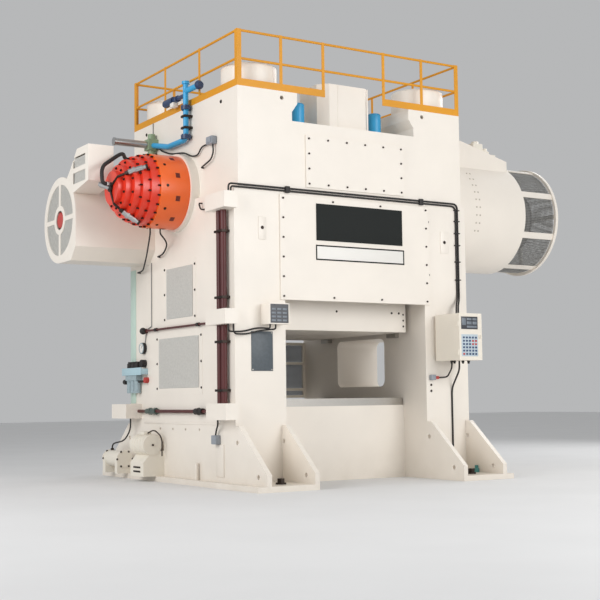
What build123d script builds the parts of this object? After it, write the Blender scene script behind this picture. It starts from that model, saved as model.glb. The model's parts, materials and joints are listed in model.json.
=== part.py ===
"""Straight-side mechanical stamping press, modelled as separate pieces in millimetres.

X runs to the right along the front, Y to the back and Z up. The origin lies on the floor,
below the middle of the frame. The slide is at the top of its stroke.
"""
import os
from math import cos, pi, radians, sin, sqrt

from build123d import *

# Frame
press_width = 4540
crown_step = 75
press_depth = 3850
opening_width = 2740
upright_top = 4600
crown_height = 1600
plate = 80
base_thickness = 85
base_lip = 150
flare_reach = 930
flare_top = 945
flare_ledge = 100
flare_toe = 250
flare_hole_radius = 36
anchor_radius = 40
anchor_reach = 560
anchor_head_height = 60
anchor_washer = 25
anchor_nut_radius = 60
overrun = 10
face_clearance = 0.3
running_clearance = 0.05

# Windows in the uprights
window_inset = 1185
window_rise = 200
window_drop = 65
window_corner = 120
window_liner = 16
vent_front = -530
vent_back = 440
vent_rise = 250
vent_height = 845
screen_border = 60
screen_thickness = 12
screen_hole_columns = 6
screen_hole_rows = 6
screen_bar_share = 0.22

# Bed and bolster
bed_inset = 645
bed_top = 1220
bed_wall = 110
bed_deck = 220
bolster_thickness = 125
bolster_side_gap = 30
slot_count = 5
slot_pitch = 440
slot_width = 42
slot_depth = 70
slot_foot_width = 76
slot_foot_height = 32

# Slide and its drive
slide_side_room = 80
slide_inset = 440
slide_low = 2450
slide_height = 900
stroke = 250
pocket_half_x = 260
pocket_half_y = 330
pocket_floor = 480
slide_wall = 90
slide_floor = 300
pad_radius = 200
pad_gap = 30
gib_width = 260
gib_drop = 70
gib_top_drop = 700
gib_inset = 875
crank_rise = 180
journal_radius = 120
shaft_radius = 140
eccentric_radius = 300
eccentric_width = 260
eccentric_inset = 570
bush_wall = 28
rod_band = 110
rod_width = 240
rod_neck_radius = 115
ball_radius = 165
ball_rise = 700
cap_lug = 110
cap_bolt_radius = 24

# Tie rods and balance cylinders
tie_inset_x = 580
tie_inset_y = 525
tie_radius = 120
tie_hole_clearance = 12
nut_radius = 450
nut_height = 440
nut_edge = 26
nut_bore_depth = 260
balance_x = 773
balance_inset = 535
balance_radius = 115
balance_wall = 18
balance_height = 440
balance_rod_radius = 38
balance_rod_foot = 90
balance_foot_height = 40
balance_piston_height = 60

# Crown
notch_depth = 460
notch_inset = 990
hook_reach = 100
hook_rise = 145
hook_slope = 140
lift_hole_inset = 805
lift_hole_drop = 105
lift_hole_radius = 34
well_side_gap = 45
well_end_gap = 40

# Covers on the front and back
cover_lap = 90
cover_rise = 440
cover_drop = 55
cover_thickness = 25
upper_cover_inset = 1230
upper_cover_rise = 100
upper_cover_height = 840
bolt_radius = 17
bolt_height = 14
bolt_inset = 55
main_cover_columns = 4
main_cover_rows = 6
upper_cover_columns = 6
upper_cover_rows = 4

# Housing on top
housing_side_room = 695
housing_inset = 195
housing_depth = 680
housing_rise = 300
housing_bevel = 150
housing_wall = 20

# Guard rail
rail_height = 900
rail_mid = 455
rail_radius = 20
toe_board = 115
toe_thickness = 8
corner_post = 80
corner_post_wall = 10
post_width = 50
post_thickness = 14
toe_gap_share = 0.26
front_post_shares = (0.273, 0.636)
side_post_share = 0.334

# Brake on the left end of the eccentric shaft
brake_mount_radius = 650
brake_mount_length = 150
brake_radius = 612
brake_length = 520
brake_step_shares = (0.95, 0.88, 0.78, 0.62, 0.45)
brake_step_lengths = (150, 130, 120, 110, 90)
brake_bolt_radius = 15
brake_bolt_length = 42
brake_bolt_counts = (24, 20, 16)
brake_slot_count = 10
brake_slot_size = 46
brake_slot_depth = 14
brake_slot_share = 0.36
brake_bore_gap = 30
brake_disc_radius = 470
brake_disc_thickness = 70
brake_cavity_radius = 520
brake_cavity_length = 330

# Drive motor behind the left side
motor_inset = 285
motor_drop = 330
motor_reach = 1450
hood_radius = 740
hood_wall = 14
hood_ring = 130
hood_spoke = 80
hood_spoke_angles = (50, 140)
hood_foot_angle = 45
hood_hub_radius = 250
hood_hub_bore = 165
duct_reach = 1290
duct_depth = 800
duct_rise = 1100
duct_length = 430
duct_bevel = 300
motor_radius = 470
motor_length = 1120
motor_gap = 130
motor_fin = 45
motor_fin_count = 16
motor_fin_width = 34
motor_end_bell = 60
fan_radius = 155
fan_length = 120
fan_nose_share = 0.75
back_shaft_radius = 60
back_bush_wall = 24

# Flywheel side
flywheel_radius = 940
flywheel_width = 520
flywheel_rim = 190
flywheel_web = 120
flywheel_hub = 330
flywheel_gap = 290
quill_radius = 230
quill_flange_radius = 380
quill_flange = 60
pulley_radius = 240
belt_count = 6
belt_height = 26
belt_width = 46
belt_pitch = 72
belt_groove = 18
guard_radius = 1050
guard_wall = 14
guard_tail_radius = 340
guard_shell_length = 1070
guard_band_reach = 2160
guard_band_length = 894
guard_rim = 60
guard_rim_depth = 55
guard_rib = 120
guard_rib_depth = 20
guard_rib_count = 8
guard_screen = 6
guard_spoke = 90
roof_half = 620
roof_rise = 300
roof_flat_length = 1030
clutch_radius = 620
clutch_width = 560
clutch_tube_radius = 420
clutch_tube_wall = 60
clutch_wall = 50
clutch_fin_count = 5
clutch_fin = 40
clutch_fin_width = 30
clutch_hub_radius = 480
clutch_hub_width = 160
clutch_gap = 60

# Control box on the right upright
control_width = 480
control_depth = 620
control_height = 770
control_inset = 490
control_drop = 120
control_wall = 6
control_door_thickness = 22
control_hinge_radius = 11
control_hinge_height = 90
control_pin_radius = 5.5
control_bracket = 60
latch_size = 46
latch_depth = 24

# Safety screen at the back and cables on the front
rear_tube = 50
rear_gap = 20
rear_drop = 26
rear_bar_rises = (155, 655)
cable_radius = 15
cable_bend = 60
cable_corner = 60
cable_rise = 5
cable_pitch = 42
cable_inset = 210
cable_foot_inset = 370
cable_loop = 150

# Small fittings on the left side
conduit_radius = 48
conduit_gap = 36
conduit_stand = 80
conduit_inset = 265
conduit_rise = 245
conduit_drop = 310
clamp_height = 36
clamp_wall = 14
oil_clamp_shares = (0.09, 0.33, 0.55, 0.88)
air_clamp_shares = (0.12, 0.55)
junction_depth = 230
junction_side = 520
corner_box_drop = 335
middle_box_rise = 40
low_box_rise = 95
junction_heights = (250, 230, 250)
aux_box_depth = 300
aux_box_length = 620
panel_inset = 463
panel_width = 355
panel_rise = 40
panel_height = 320
panel_depth = 260
panel_bezel = 14
air_pipe_radius = 46
air_pipe_inset = 1588
air_pipe_stand = 90
air_pipe_drop = 567
air_pipe_rise = 360
air_elbow = 120
valve_inset = 925
valve_drop = 420
valve_size = 190
valve_neck_share = 0.7
silencer_radius = 62
silencer_length = 620
silencer_cap = 30
silencer_rim = 9
gauge_radius = 95
gauge_depth = 60
gauge_face_share = 0.85
gauge_rise = 775
service_inset = 495
service_rise = 135
service_length = 460
service_bowl_radius = 58
service_bowl_height = 220
service_block = 120
service_knob = 84
service_knob_radius = 46
lube_inset = 1365
lube_motor_radius = 170
lube_motor_length = 560
lube_box_length = 520
lube_box_height = 420
lube_box_width = 330
lube_slope_share = 0.55
lube_seat_share = 0.6
lube_pump_inset = 225
lube_pump_radius = 140
lube_pump_length = 640
lube_stand = 110
hose_radius = 24
hose_bend = 110
lead_radius = 13
lead_bend = 38
lead_routes = (
    # Indicator panel to the middle corner box
    ((-1640, -2080, 2490), (-1640, -2080, 2415), (-1854, -1990, 2400), (-2096, -1990, 2337),
     (-2330, -1990, 2337), (-2330, -1990, 2490)),
    ((-1740, -2080, 2490), (-1740, -2080, 2425), (-1900, -1955, 2440), (-2150, -1955, 2375),
     (-2400, -1955, 2375), (-2400, -1955, 2490)),
    # Socket on the crown's side to the brake valve, and into the crown
    ((-2230, -1060, 5440), (-2230, -780, 5430), (-2230, -660, 5320), (-2230, -450, 5330),
     (-2230, -150, 5450), (-2230, 80, 5480), (-2230, 371, 5520), (-2230, 700, 5630),
     (-2230, 820, 5702), (-2230, 905, 5702)),
    ((-2245, -1200, 5400), (-2245, -1224, 5274), (-2245, -1141, 5164), (-2245, -800, 5085),
     (-2195, -800, 5085)),
    # Side plate to the top corner box
    ((-2270, -875, 4490), (-2330, -875, 4490), (-2330, -930, 4380), (-2330, -1200, 4345),
     (-2330, -1405, 4345)),
    # Brake's underside to the side plate
    ((-2780, 0, 4168), (-2780, 0, 4070), (-2560, 620, 3780), (-2340, 1250, 3600), (-2330, 1500, 3590),
     (-2270, 1500, 3590)),
    ((-2600, 0, 4168), (-2600, 0, 4090), (-2420, 150, 3990), (-2320, 330, 3930), (-2320, 480, 3810),
     (-2320, 700, 3790), (-2270, 700, 3790)),
    # Rear corner box to the lubrication pump, and low corner box to its socket
    ((-2400, 1650, 1040), (-2400, 1650, 850), (-2430, 1830, 650), (-2490, 2150, 600), (-2490, 2240, 560),
     (-2490, 2240, 475)),
    ((-2380, -1560, 1040), (-2380, -1560, 960), (-2320, -1400, 880), (-2320, -1373, 800)),
    # Control box to the socket on the right upright
    ((1700, -2200, 1945), (1700, -2200, 1830), (1760, -2000, 1680), (1640, -1960, 1672), (1540, -1960, 1672)),
)
cross_pipe_radius = 18
cross_pipe_stand = 40
cross_pipe_rise = 60
cross_pipe_inset = 686
cross_knob_radius = 45
cross_knob_depth = 70
link_pipe_radius = 28
link_pipe_stand = 60
hose_route = (
    (-2285, 1000, 5420),
    (-2860, 820, 5440),
    (-3120, 330, 5460),
    (-3620, 40, 5120),
    (-3620, 0, 4840),
)

# Sizes and places that follow
half_width = press_width / 2
crown_width = press_width - 2 * crown_step
half_crown = crown_width / 2
half_depth = press_depth / 2
half_opening = opening_width / 2
front_plane = -half_depth
crown_inner = half_crown - plate
anchor_x = (half_opening + half_width) / 2
bolster_top = bed_top + bolster_thickness
bed_depth = press_depth - 2 * bed_inset
slide_width = opening_width - 2 * slide_side_room
slide_depth = press_depth - 2 * slide_inset
half_slide = slide_width / 2
slide_top = slide_low + slide_height
gib_face = half_slide + face_clearance
eccentricity = stroke / 2
bush_radius = journal_radius + bush_wall
crown_top = upright_top + crown_height
crank_height = upright_top + crank_rise
window_half_depth = half_depth - window_inset
window_low = bolster_top + window_rise
window_high = slide_low - window_drop
vent_low = slide_low + vent_rise
vent_high = vent_low + vent_height
gib_low = slide_low - gib_drop
gib_high = upright_top - gib_top_drop
gib_offset = half_depth - gib_inset
eccentric_offset = half_opening - eccentric_inset
ball_height = slide_low + ball_rise
tie_x = half_width - tie_inset_x
tie_y = half_depth - tie_inset_y
balance_y = balance_inset - half_depth
notch_floor = crown_top - notch_depth
notch_half = half_crown - notch_inset
hook_low = notch_floor + hook_rise
hook_high = hook_low + hook_slope
lift_hole_x = half_crown - lift_hole_inset
cover_half = half_opening + cover_lap
cover_low = slide_low + cover_rise
cover_high = upright_top - cover_drop
upper_cover_half = half_crown - upper_cover_inset
upper_cover_low = upright_top + upper_cover_rise
upper_cover_high = upper_cover_low + upper_cover_height
housing_half = notch_half - housing_side_room
housing_front = housing_inset - half_depth
housing_back = housing_front + housing_depth
housing_top = crown_top + housing_rise
motor_y = half_depth - motor_inset
motor_z = crank_height - motor_drop
motor_face = -half_width - motor_reach
duct_front = motor_y - duct_reach
duct_back = duct_front + duct_depth
duct_top = motor_z + duct_rise
flywheel_start = half_width + flywheel_gap
guard_shell_end = half_width + guard_shell_length
guard_band_start = half_width + guard_band_reach
guard_end = guard_band_start + guard_band_length
roof_flat_end = half_width + roof_flat_length
control_x = half_width - control_inset
control_z = slide_low - control_drop
rear_top = slide_low - rear_drop
cable_level = upright_top + cable_rise
cable_drop_x = half_width - cable_inset
cable_foot_x = half_width - cable_foot_inset
conduit_x = -half_width - conduit_stand
conduit_y = conduit_inset - half_depth
conduit_low = flare_top + conduit_rise
conduit_top = upright_top - conduit_drop
panel_left = panel_inset - half_width
panel_right = panel_left + panel_width
panel_low = slide_low + panel_rise
panel_high = panel_low + panel_height
air_pipe_y = air_pipe_inset - half_depth
air_pipe_low = crown_top - air_pipe_drop
air_pipe_top = crown_top + air_pipe_rise
valve_y = half_depth - valve_inset
valve_z = crown_top - valve_drop
service_y = half_depth - service_inset
service_low = bolster_top + service_rise
lube_y = half_depth - lube_inset
lube_pump_y = half_depth - lube_pump_inset
front_posts = [half_crown * share for share in front_post_shares]
side_post = half_depth * side_post_share
toe_gap_half = half_crown * toe_gap_share
junction_levels = (upright_top - corner_box_drop, slide_low + middle_box_rise, flare_top + low_box_rise)
rear_bar_levels = [bolster_top + rise for rise in rear_bar_rises]

os.makedirs("parts", exist_ok=True)


def save(node, *solids):
    """Write one node, as one solid or as a group of separate solids."""
    shape = solids[0] if len(solids) == 1 else Compound(children=list(solids))
    export_step(shape, f"parts/{node}.step")


def block(x0, x1, y0, y1, z0, z1):
    """Box between two corners."""
    middle = Pos((x0 + x1) / 2, (y0 + y1) / 2, (z0 + z1) / 2)
    return middle * Box(x1 - x0, y1 - y0, z1 - z0)


def along_x(face, x0, x1):
    """Extrude a face drawn as (Y, Z) from x0 to x1."""
    return extrude(Plane.YZ.offset(x0) * face, amount=x1 - x0)


def along_y(face, y0, y1):
    """Extrude a face drawn as (X, Z) from y0 to y1."""
    return extrude(Plane.XZ.offset(-y1) * face, amount=y1 - y0)


def along_z(face, z0, z1):
    """Extrude a face drawn as (X, Y) from z0 to z1."""
    return extrude(Plane.XY.offset(z0) * face, amount=z1 - z0)


def rod_x(x0, x1, y, z, radius):
    return along_x(Pos(y, z) * Circle(radius), x0, x1)


def rod_y(x, y0, y1, z, radius):
    return along_y(Pos(x, z) * Circle(radius), y0, y1)


def rod_z(x, y, z0, z1, radius):
    return along_z(Pos(x, y) * Circle(radius), z0, z1)


def polygon(*points):
    return make_face(Polyline(*points, close=True))


def turned_x(points, y, z):
    """Revolve a profile of (X, radius) points about the line along X through y, z."""
    face = make_face(Polyline(*points, close=True))
    return Pos(0, y, z) * revolve(face, axis=Axis.X)


def rounded_window(front, back, low, high, corner):
    middle = Pos((front + back) / 2, (low + high) / 2)
    return middle * RectangleRounded(back - front, high - low, corner)


def mirrored(shape):
    return mirror(shape, about=Plane.YZ)


def bolt_head_y(x, z, face, height):
    """Hexagon head standing out to the front of a face."""
    return along_y(Pos(x, z) * RegularPolygon(bolt_radius, 6), face - height, face)


def swept(points, radius, bend):
    """Round cable or hose along a line of points with rounded corners."""
    path = FilletPolyline(*points, radius=bend)
    start = Plane(origin=path @ 0, z_dir=path % 0)
    return sweep(start * Circle(radius), path=path)


def side_profile():
    """Outline of an upright's side plate, with its flared feet."""
    toe = half_depth + flare_reach
    ledge = half_depth + flare_ledge
    right = [
        (toe, base_thickness),
        (toe, flare_toe),
        (ledge, flare_top),
        (half_depth, flare_top),
        (half_depth, upright_top),
    ]
    left = [(-y, z) for y, z in reversed(right)]
    return polygon(*right, *left)


def flare_holes():
    slope = (half_depth + flare_ledge, half_depth + flare_reach)
    low = base_thickness + flare_toe / 2
    high = flare_top - flare_toe
    near = slope[0] - flare_ledge / 2
    far = slope[1] - flare_toe
    faces = []
    for y, z in ((near, high), (far, low)):
        faces += [Pos(y, z) * Circle(flare_hole_radius), Pos(-y, z) * Circle(flare_hole_radius)]
    return faces


def window_liner_face():
    """Outline of the sheet tunnel that lines an upright's window."""
    reach = window_half_depth + window_liner
    low = window_low - window_liner
    high = window_high + window_liner
    return rounded_window(-reach, reach, low, high, window_corner + window_liner)


def upright(vented):
    """Right-hand upright: two flared side plates, front and back plates, top and foot."""
    window = rounded_window(-window_half_depth, window_half_depth, window_low, window_high, window_corner)
    shaft_hole = Pos(motor_y, motor_z) * Circle(back_shaft_radius + back_bush_wall)
    plate_face = side_profile() - window - shaft_hole
    for hole in flare_holes():
        plate_face -= hole
    outer_face = plate_face
    if vented:
        outer_face -= rounded_window(vent_front, vent_back, vent_low, vent_high, window_corner / 2)
    outer = along_x(outer_face, half_width - plate, half_width)
    inner = along_x(plate_face, half_opening, half_opening + plate)
    span = (half_opening + plate, half_width - plate)
    front = block(*span, -half_depth, -half_depth + plate, base_thickness, upright_top)
    back = block(*span, half_depth - plate, half_depth, base_thickness, upright_top)
    lid = block(*span, -half_depth + plate, half_depth - plate, upright_top - plate, upright_top)
    toe = half_depth + flare_reach
    foot = block(half_opening, half_width + base_lip, -toe, toe, 0, base_thickness)
    body = foot + outer + inner + front + back + lid
    if not vented:
        body += along_x(window_liner_face() - window, *span)
    for y in (-tie_y, tie_y):
        body -= rod_z(tie_x, y, -overrun, upright_top + overrun, tie_radius + tie_hole_clearance)
    for y in (-half_depth - anchor_reach, half_depth + anchor_reach):
        body -= rod_z(anchor_x, y, -overrun, base_thickness + overrun, anchor_radius)
    return body


def slots(low, high, upward):
    """T-slots along X, cut up from the slide's face or down from the bolster's."""
    mouth = low if upward else high - slot_depth
    foot = low + slot_depth - slot_foot_height if upward else high - slot_depth
    cuts = []
    reach = opening_width
    for number in range(slot_count):
        y = (number - (slot_count - 1) / 2) * slot_pitch
        neck = block(-reach, reach, y - slot_width / 2, y + slot_width / 2, mouth, mouth + slot_depth)
        half = slot_foot_width / 2
        wide = block(-reach, reach, y - half, y + half, foot, foot + slot_foot_height)
        cuts.append(neck + wide)
    return cuts


def bed():
    half = bed_depth / 2
    shell = block(-half_opening, half_opening, -half, half, 0, bed_top)
    for side in (-1, 1):
        near = bed_wall / 2
        far = half_opening - bed_wall
        bay = (near, far) if side > 0 else (-far, -near)
        shell -= block(*bay, -half + bed_wall, half - bed_wall, -overrun, bed_top - bed_deck)
    return shell


def bolster():
    half_x = half_opening - bolster_side_gap
    half_y = bed_depth / 2
    body = block(-half_x, half_x, -half_y, half_y, bed_top, bolster_top)
    for cut in slots(bed_top, bolster_top, False):
        body -= cut
    return body


def slide():
    body = block(-half_slide, half_slide, -slide_depth / 2, slide_depth / 2, slide_low, slide_top)
    for cut in slots(slide_low, slide_top, True):
        body -= cut
    for x in (-eccentric_offset, eccentric_offset):
        body -= block(
            x - pocket_half_x, x + pocket_half_x, -pocket_half_y, pocket_half_y,
            slide_low + pocket_floor, slide_top + overrun,
        )
    far_x = half_slide - slide_wall
    near_y = pocket_half_y + slide_wall
    far_y = slide_depth / 2 - slide_wall - 2 * balance_rod_foot
    for x0, x1 in ((-far_x, -slide_wall / 2), (slide_wall / 2, far_x)):
        for y0, y1 in ((-far_y, -near_y), (near_y, far_y)):
            body -= block(x0, x1, y0, y1, slide_low + slide_floor, slide_top + overrun)
    middle = eccentric_offset - pocket_half_x - slide_wall
    return body - block(
        -middle, middle, -pocket_half_y, pocket_half_y, slide_low + slide_floor, slide_top + overrun
    )


def ball_pads():
    floor = slide_low + pocket_floor
    top = ball_height - ball_radius - pad_gap
    return [rod_z(x, 0, floor, top, pad_radius) for x in (-eccentric_offset, eccentric_offset)]


def gibs():
    pieces = []
    for y in (-gib_offset, gib_offset):
        bar = block(gib_face, half_opening, y - gib_width / 2, y + gib_width / 2, gib_low, gib_high)
        pieces += [bar, mirrored(bar)]
    return pieces


def crown():
    """Welded box with a channel across its top, between two hooked shoulders."""
    hook = notch_half - hook_reach
    right = [
        (half_crown, upright_top), (half_crown, crown_top), (hook, crown_top), (hook, hook_high),
        (notch_half, hook_low), (notch_half, notch_floor),
    ]
    outline = polygon(*right, *[(-x, z) for x, z in reversed(right)])
    body = along_y(outline, -half_depth, half_depth)
    low = upright_top + plate
    high = notch_floor - plate
    shoulder = notch_half + plate
    roof = crown_top - plate
    inside = [(crown_inner, low), (crown_inner, roof), (shoulder, roof), (shoulder, high)]
    cavity = polygon(*inside, *[(-x, z) for x, z in reversed(inside)])
    body -= along_y(cavity, -half_depth + plate, half_depth - plate)
    well_x = rod_width / 2 + well_side_gap
    well_y = eccentricity + eccentric_radius + rod_band + cap_lug + well_end_gap
    for x in (-eccentric_offset, eccentric_offset):
        body -= block(x - well_x, x + well_x, -well_y, well_y, upright_top - overrun, low + overrun)
    web = block(-plate, plate, -half_depth + plate, half_depth - plate, low, high)
    body += web
    body -= rod_x(-half_crown - overrun, half_crown + overrun, 0, crank_height, bush_radius)
    for x in (-tie_x, tie_x):
        for y in (-tie_y, tie_y):
            body -= rod_z(x, y, upright_top - overrun, crown_top + overrun, tie_radius + tie_hole_clearance)
    for x in (-balance_x, balance_x):
        body -= rod_z(
            x,
            balance_y,
            upright_top - overrun,
            notch_floor + overrun,
            balance_rod_radius + tie_hole_clearance,
        )
    for x in (-lift_hole_x, lift_hole_x):
        body -= rod_y(x, -half_depth - overrun, -half_depth + plate + overrun, crown_top - lift_hole_drop,
                      lift_hole_radius)
    return body


def main_bushes():
    """Bushes for the eccentric shaft, in the crown's side plates and its middle web."""
    side = bush_x(crown_inner, half_crown, 0, crank_height, journal_radius, bush_wall)
    middle = bush_x(-plate, plate, 0, crank_height, journal_radius, bush_wall)
    return [side, mirrored(side), middle]


def bush_x(x0, x1, y, z, shaft, wall):
    """Plain bush along X with a running clearance on its shaft."""
    body = rod_x(x0, x1, y, z, shaft + wall)
    return body - rod_x(x0 - overrun, x1 + overrun, y, z, shaft + running_clearance)


def eccentric_shaft():
    """One-piece shaft with two eccentrics, a brake end on the left and a clutch end on the right."""
    left = -half_crown - brake_mount_length - brake_length + brake_bore_gap
    right = guard_band_start + clutch_gap + clutch_width + clutch_wall
    end = left, right
    inner = crown_inner - face_clearance
    web = plate + face_clearance
    shaft = turned_x(
        [
            (end[0], 0), (end[1], 0), (end[1], journal_radius), (inner, journal_radius),
            (inner, shaft_radius), (web, shaft_radius), (web, journal_radius), (-web, journal_radius),
            (-web, shaft_radius), (-inner, shaft_radius), (-inner, journal_radius), (end[0], journal_radius),
        ],
        0, crank_height,
    )
    for x in (-eccentric_offset, eccentric_offset):
        half = eccentric_width / 2
        shaft += rod_x(x - half, x + half, 0, crank_height + eccentricity, eccentric_radius)
    return shaft


def connecting_rod(x):
    """Lower half of the big end with the shank, and its ball end in the slide."""
    centre = crank_height + eccentricity
    half = rod_width / 2
    outer = eccentric_radius + rod_band
    band = rod_x(x - half, x + half, 0, centre, outer)
    lug = outer + cap_lug
    band += block(x - half, x + half, -lug, lug, centre - cap_lug, centre)
    band -= block(x - rod_width, x + rod_width, -lug - overrun, lug + overrun, centre, centre + lug)
    shank = Pos(x, 0, ball_height) * Cone(
        rod_neck_radius,
        half,
        centre - outer - ball_height + rod_band,
        align=(Align.CENTER, Align.CENTER, Align.MIN),
    )
    ball = Pos(x, 0, ball_height) * Sphere(ball_radius)
    body = band + shank + ball
    body -= rod_x(x - rod_width, x + rod_width, 0, centre, eccentric_radius + running_clearance)
    return body


def rod_cap(x):
    """Upper half of the big end, with the heads of its bolts."""
    centre = crank_height + eccentricity
    half = rod_width / 2
    outer = eccentric_radius + rod_band
    lug = outer + cap_lug
    band = rod_x(x - half, x + half, 0, centre, outer)
    band += block(x - half, x + half, -lug, lug, centre, centre + cap_lug)
    band -= block(x - rod_width, x + rod_width, -lug - overrun, lug + overrun, centre - lug, centre)
    bolt_y = outer + cap_lug / 2
    for y in (-bolt_y, bolt_y):
        for bolt_x in (x - half / 2, x + half / 2):
            head = Pos(bolt_x, y) * RegularPolygon(cap_bolt_radius * sqrt(2), 6)
            band += along_z(head, centre + cap_lug, centre + cap_lug + cap_bolt_radius)
    return band - rod_x(x - rod_width, x + rod_width, 0, centre, eccentric_radius + running_clearance)


def tie_rods():
    top = crown_top + nut_bore_depth
    pieces = []
    for x in (-tie_x, tie_x):
        for y in (-tie_y, tie_y):
            pieces.append(rod_z(x, y, 0, top, tie_radius))
    return pieces


def tie_rod_nuts():
    pieces = []
    for x in (-tie_x, tie_x):
        for y in (-tie_y, tie_y):
            nut = rod_z(x, y, crown_top, crown_top + nut_height, nut_radius)
            nut = chamfer(nut.edges().group_by(Axis.Z)[-1], nut_edge)
            nut -= rod_z(x, y, crown_top - overrun, crown_top + nut_bore_depth, tie_radius)
            pieces.append(nut)
    return pieces


def balance_cylinders():
    """Air cylinders that carry the slide's weight, standing in the crown's channel."""
    pieces = []
    top = notch_floor + balance_height
    for x in (-balance_x, balance_x):
        barrel = rod_z(x, balance_y, notch_floor, top, balance_radius)
        barrel = chamfer(barrel.edges().group_by(Axis.Z)[-1], balance_wall)
        bore = balance_radius - balance_wall
        barrel -= rod_z(x, balance_y, notch_floor + balance_wall, top - balance_wall * 2, bore)
        barrel -= rod_z(
            x, balance_y, notch_floor - overrun, notch_floor + balance_wall + overrun,
            balance_rod_radius + running_clearance,
        )
        pieces.append(barrel)
    return pieces


def balance_rods():
    """Rods from the slide up to the pistons of the balance cylinders."""
    pieces = []
    piston_top = notch_floor + balance_height - balance_wall * 3
    bore = balance_radius - balance_wall
    for x in (-balance_x, balance_x):
        rod = rod_z(x, balance_y, slide_top, piston_top, balance_rod_radius)
        rod += rod_z(x, balance_y, slide_top, slide_top + balance_foot_height, balance_rod_foot)
        rod += rod_z(
            x, balance_y, piston_top - balance_piston_height, piston_top, bore - running_clearance * 2
        )
        pieces.append(rod)
    return pieces


def cover(half, low, high, face, outward):
    """Plain bolted cover sheet on the front or the back of the frame."""
    y0, y1 = sorted((face, face + outward * cover_thickness))
    return block(-half, half, y0, y1, low, high)


def cover_bolt_places(half, low, high, columns, rows):
    """Bolt places round the edge of a cover, as (X, Z)."""
    left = -half + bolt_inset
    width = 2 * (half - bolt_inset)
    bottom = low + bolt_inset
    height = high - low - 2 * bolt_inset
    places = []
    for number in range(columns):
        x = left + width * number / (columns - 1)
        places += [(x, bottom), (x, bottom + height)]
    for number in range(1, rows - 1):
        z = bottom + height * number / (rows - 1)
        places += [(left, z), (left + width, z)]
    return places


def cover_bolts():
    face = front_plane - cover_thickness
    places = cover_bolt_places(cover_half, cover_low, cover_high, main_cover_columns, main_cover_rows)
    places += cover_bolt_places(
        upper_cover_half, upper_cover_low, upper_cover_high, upper_cover_columns, upper_cover_rows
    )
    return [bolt_head_y(x, z, face, bolt_height) for x, z in places]


def screen(front, back, low, high, x):
    """Perforated sheet bolted over a window in a side plate, with its border left whole."""
    face = Pos((front + back) / 2, (low + high) / 2) * Rectangle(
        back - front + 2 * screen_border, high - low + 2 * screen_border
    )
    cell_y = (back - front) / screen_hole_columns
    cell_z = (high - low) / screen_hole_rows
    hole = Rectangle(cell_y * (1 - screen_bar_share), cell_z * (1 - screen_bar_share))
    for column in range(screen_hole_columns):
        for row in range(screen_hole_rows):
            face -= Pos(front + cell_y * (column + 0.5), low + cell_z * (row + 0.5)) * hole
    return along_x(face, x - screen_thickness, x)


def centre_housing():
    """Bevelled sheet box in the crown's channel."""
    inner_front = housing_front + housing_bevel
    face = polygon(
        (-housing_half, housing_back),
        (-housing_half, inner_front),
        (-housing_half + housing_bevel, housing_front),
        (housing_half - housing_bevel, housing_front),
        (housing_half, inner_front),
        (housing_half, housing_back),
    )
    body = along_z(face, notch_floor, housing_top)
    inside = offset(face, -housing_wall)
    return body - along_z(inside, notch_floor - overrun, housing_top - housing_wall)


def guard_rail():
    """Welded rail round the crown's top: posts, two pipes and a toe board."""
    x = half_crown
    y = half_depth
    floor = crown_top
    top = crown_top + rail_height
    pieces = []
    for height in (rail_mid, rail_height):
        z = floor + height - rail_radius
        for side in (-1, 1):
            pieces.append(rod_x(-x, x, side * (y - rail_radius), z, rail_radius))
            pieces.append(rod_y(side * (x - rail_radius), -y, y, z, rail_radius))
    for sx in (-1, 1):
        for sy in (-1, 1):
            x0, x1 = sorted((sx * x, sx * (x - corner_post)))
            y0, y1 = sorted((sy * y, sy * (y - corner_post)))
            post = block(x0, x1, y0, y1, floor, top)
            cut_x = sorted((sx * (x - corner_post_wall), sx * (x - corner_post - overrun)))
            cut_y = sorted((sy * (y - corner_post_wall), sy * (y - corner_post - overrun)))
            post -= block(*cut_x, *cut_y, floor - overrun, top + overrun)
            pieces.append(post)
    for sy in (-1, 1):
        y0, y1 = sorted((sy * y, sy * (y - post_thickness)))
        for place in front_posts:
            for px in (-place, place):
                pieces.append(block(px - post_width / 2, px + post_width / 2, y0, y1, floor, top))
    for sx in (-1, 1):
        x0, x1 = sorted((sx * x, sx * (x - post_thickness)))
        for py in (-side_post, side_post):
            pieces.append(block(x0, x1, py - post_width / 2, py + post_width / 2, floor, top))
        t0, t1 = sorted((sx * x, sx * (x - toe_thickness)))
        pieces.append(block(t0, t1, -y, y, floor, floor + toe_board))
    for sx in (-1, 1):
        x0, x1 = sorted((sx * x, sx * toe_gap_half))
        pieces.append(block(x0, x1, -y, -y + toe_thickness, floor, floor + toe_board))
    pieces.append(block(-x, x, y - toe_thickness, y, floor, floor + toe_board))
    body = pieces[0]
    for piece in pieces[1:]:
        body += piece
    return body


def brake_mount():
    """Turned seat for the brake, on the crown's side plate and clear of the upright below it."""
    outer = -half_crown - brake_mount_length
    ring = rod_x(outer, -half_crown, 0, crank_height, brake_mount_radius)
    ring -= block(-half_width, 0, -half_depth, half_depth, 0, upright_top)
    bore = rod_x(outer - overrun, overrun - half_crown, 0, crank_height, journal_radius + brake_bore_gap)
    return ring - bore


def brake_steps():
    """Ends and radii of the stepped face, outwards from the drum, as (X, radius)."""
    x = -half_crown - brake_mount_length - brake_length
    steps = [(x, brake_radius)]
    for share, length in zip(brake_step_shares, brake_step_lengths):
        steps.append((x, brake_radius * share))
        x -= length
        steps.append((x, brake_radius * share))
    return steps


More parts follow.
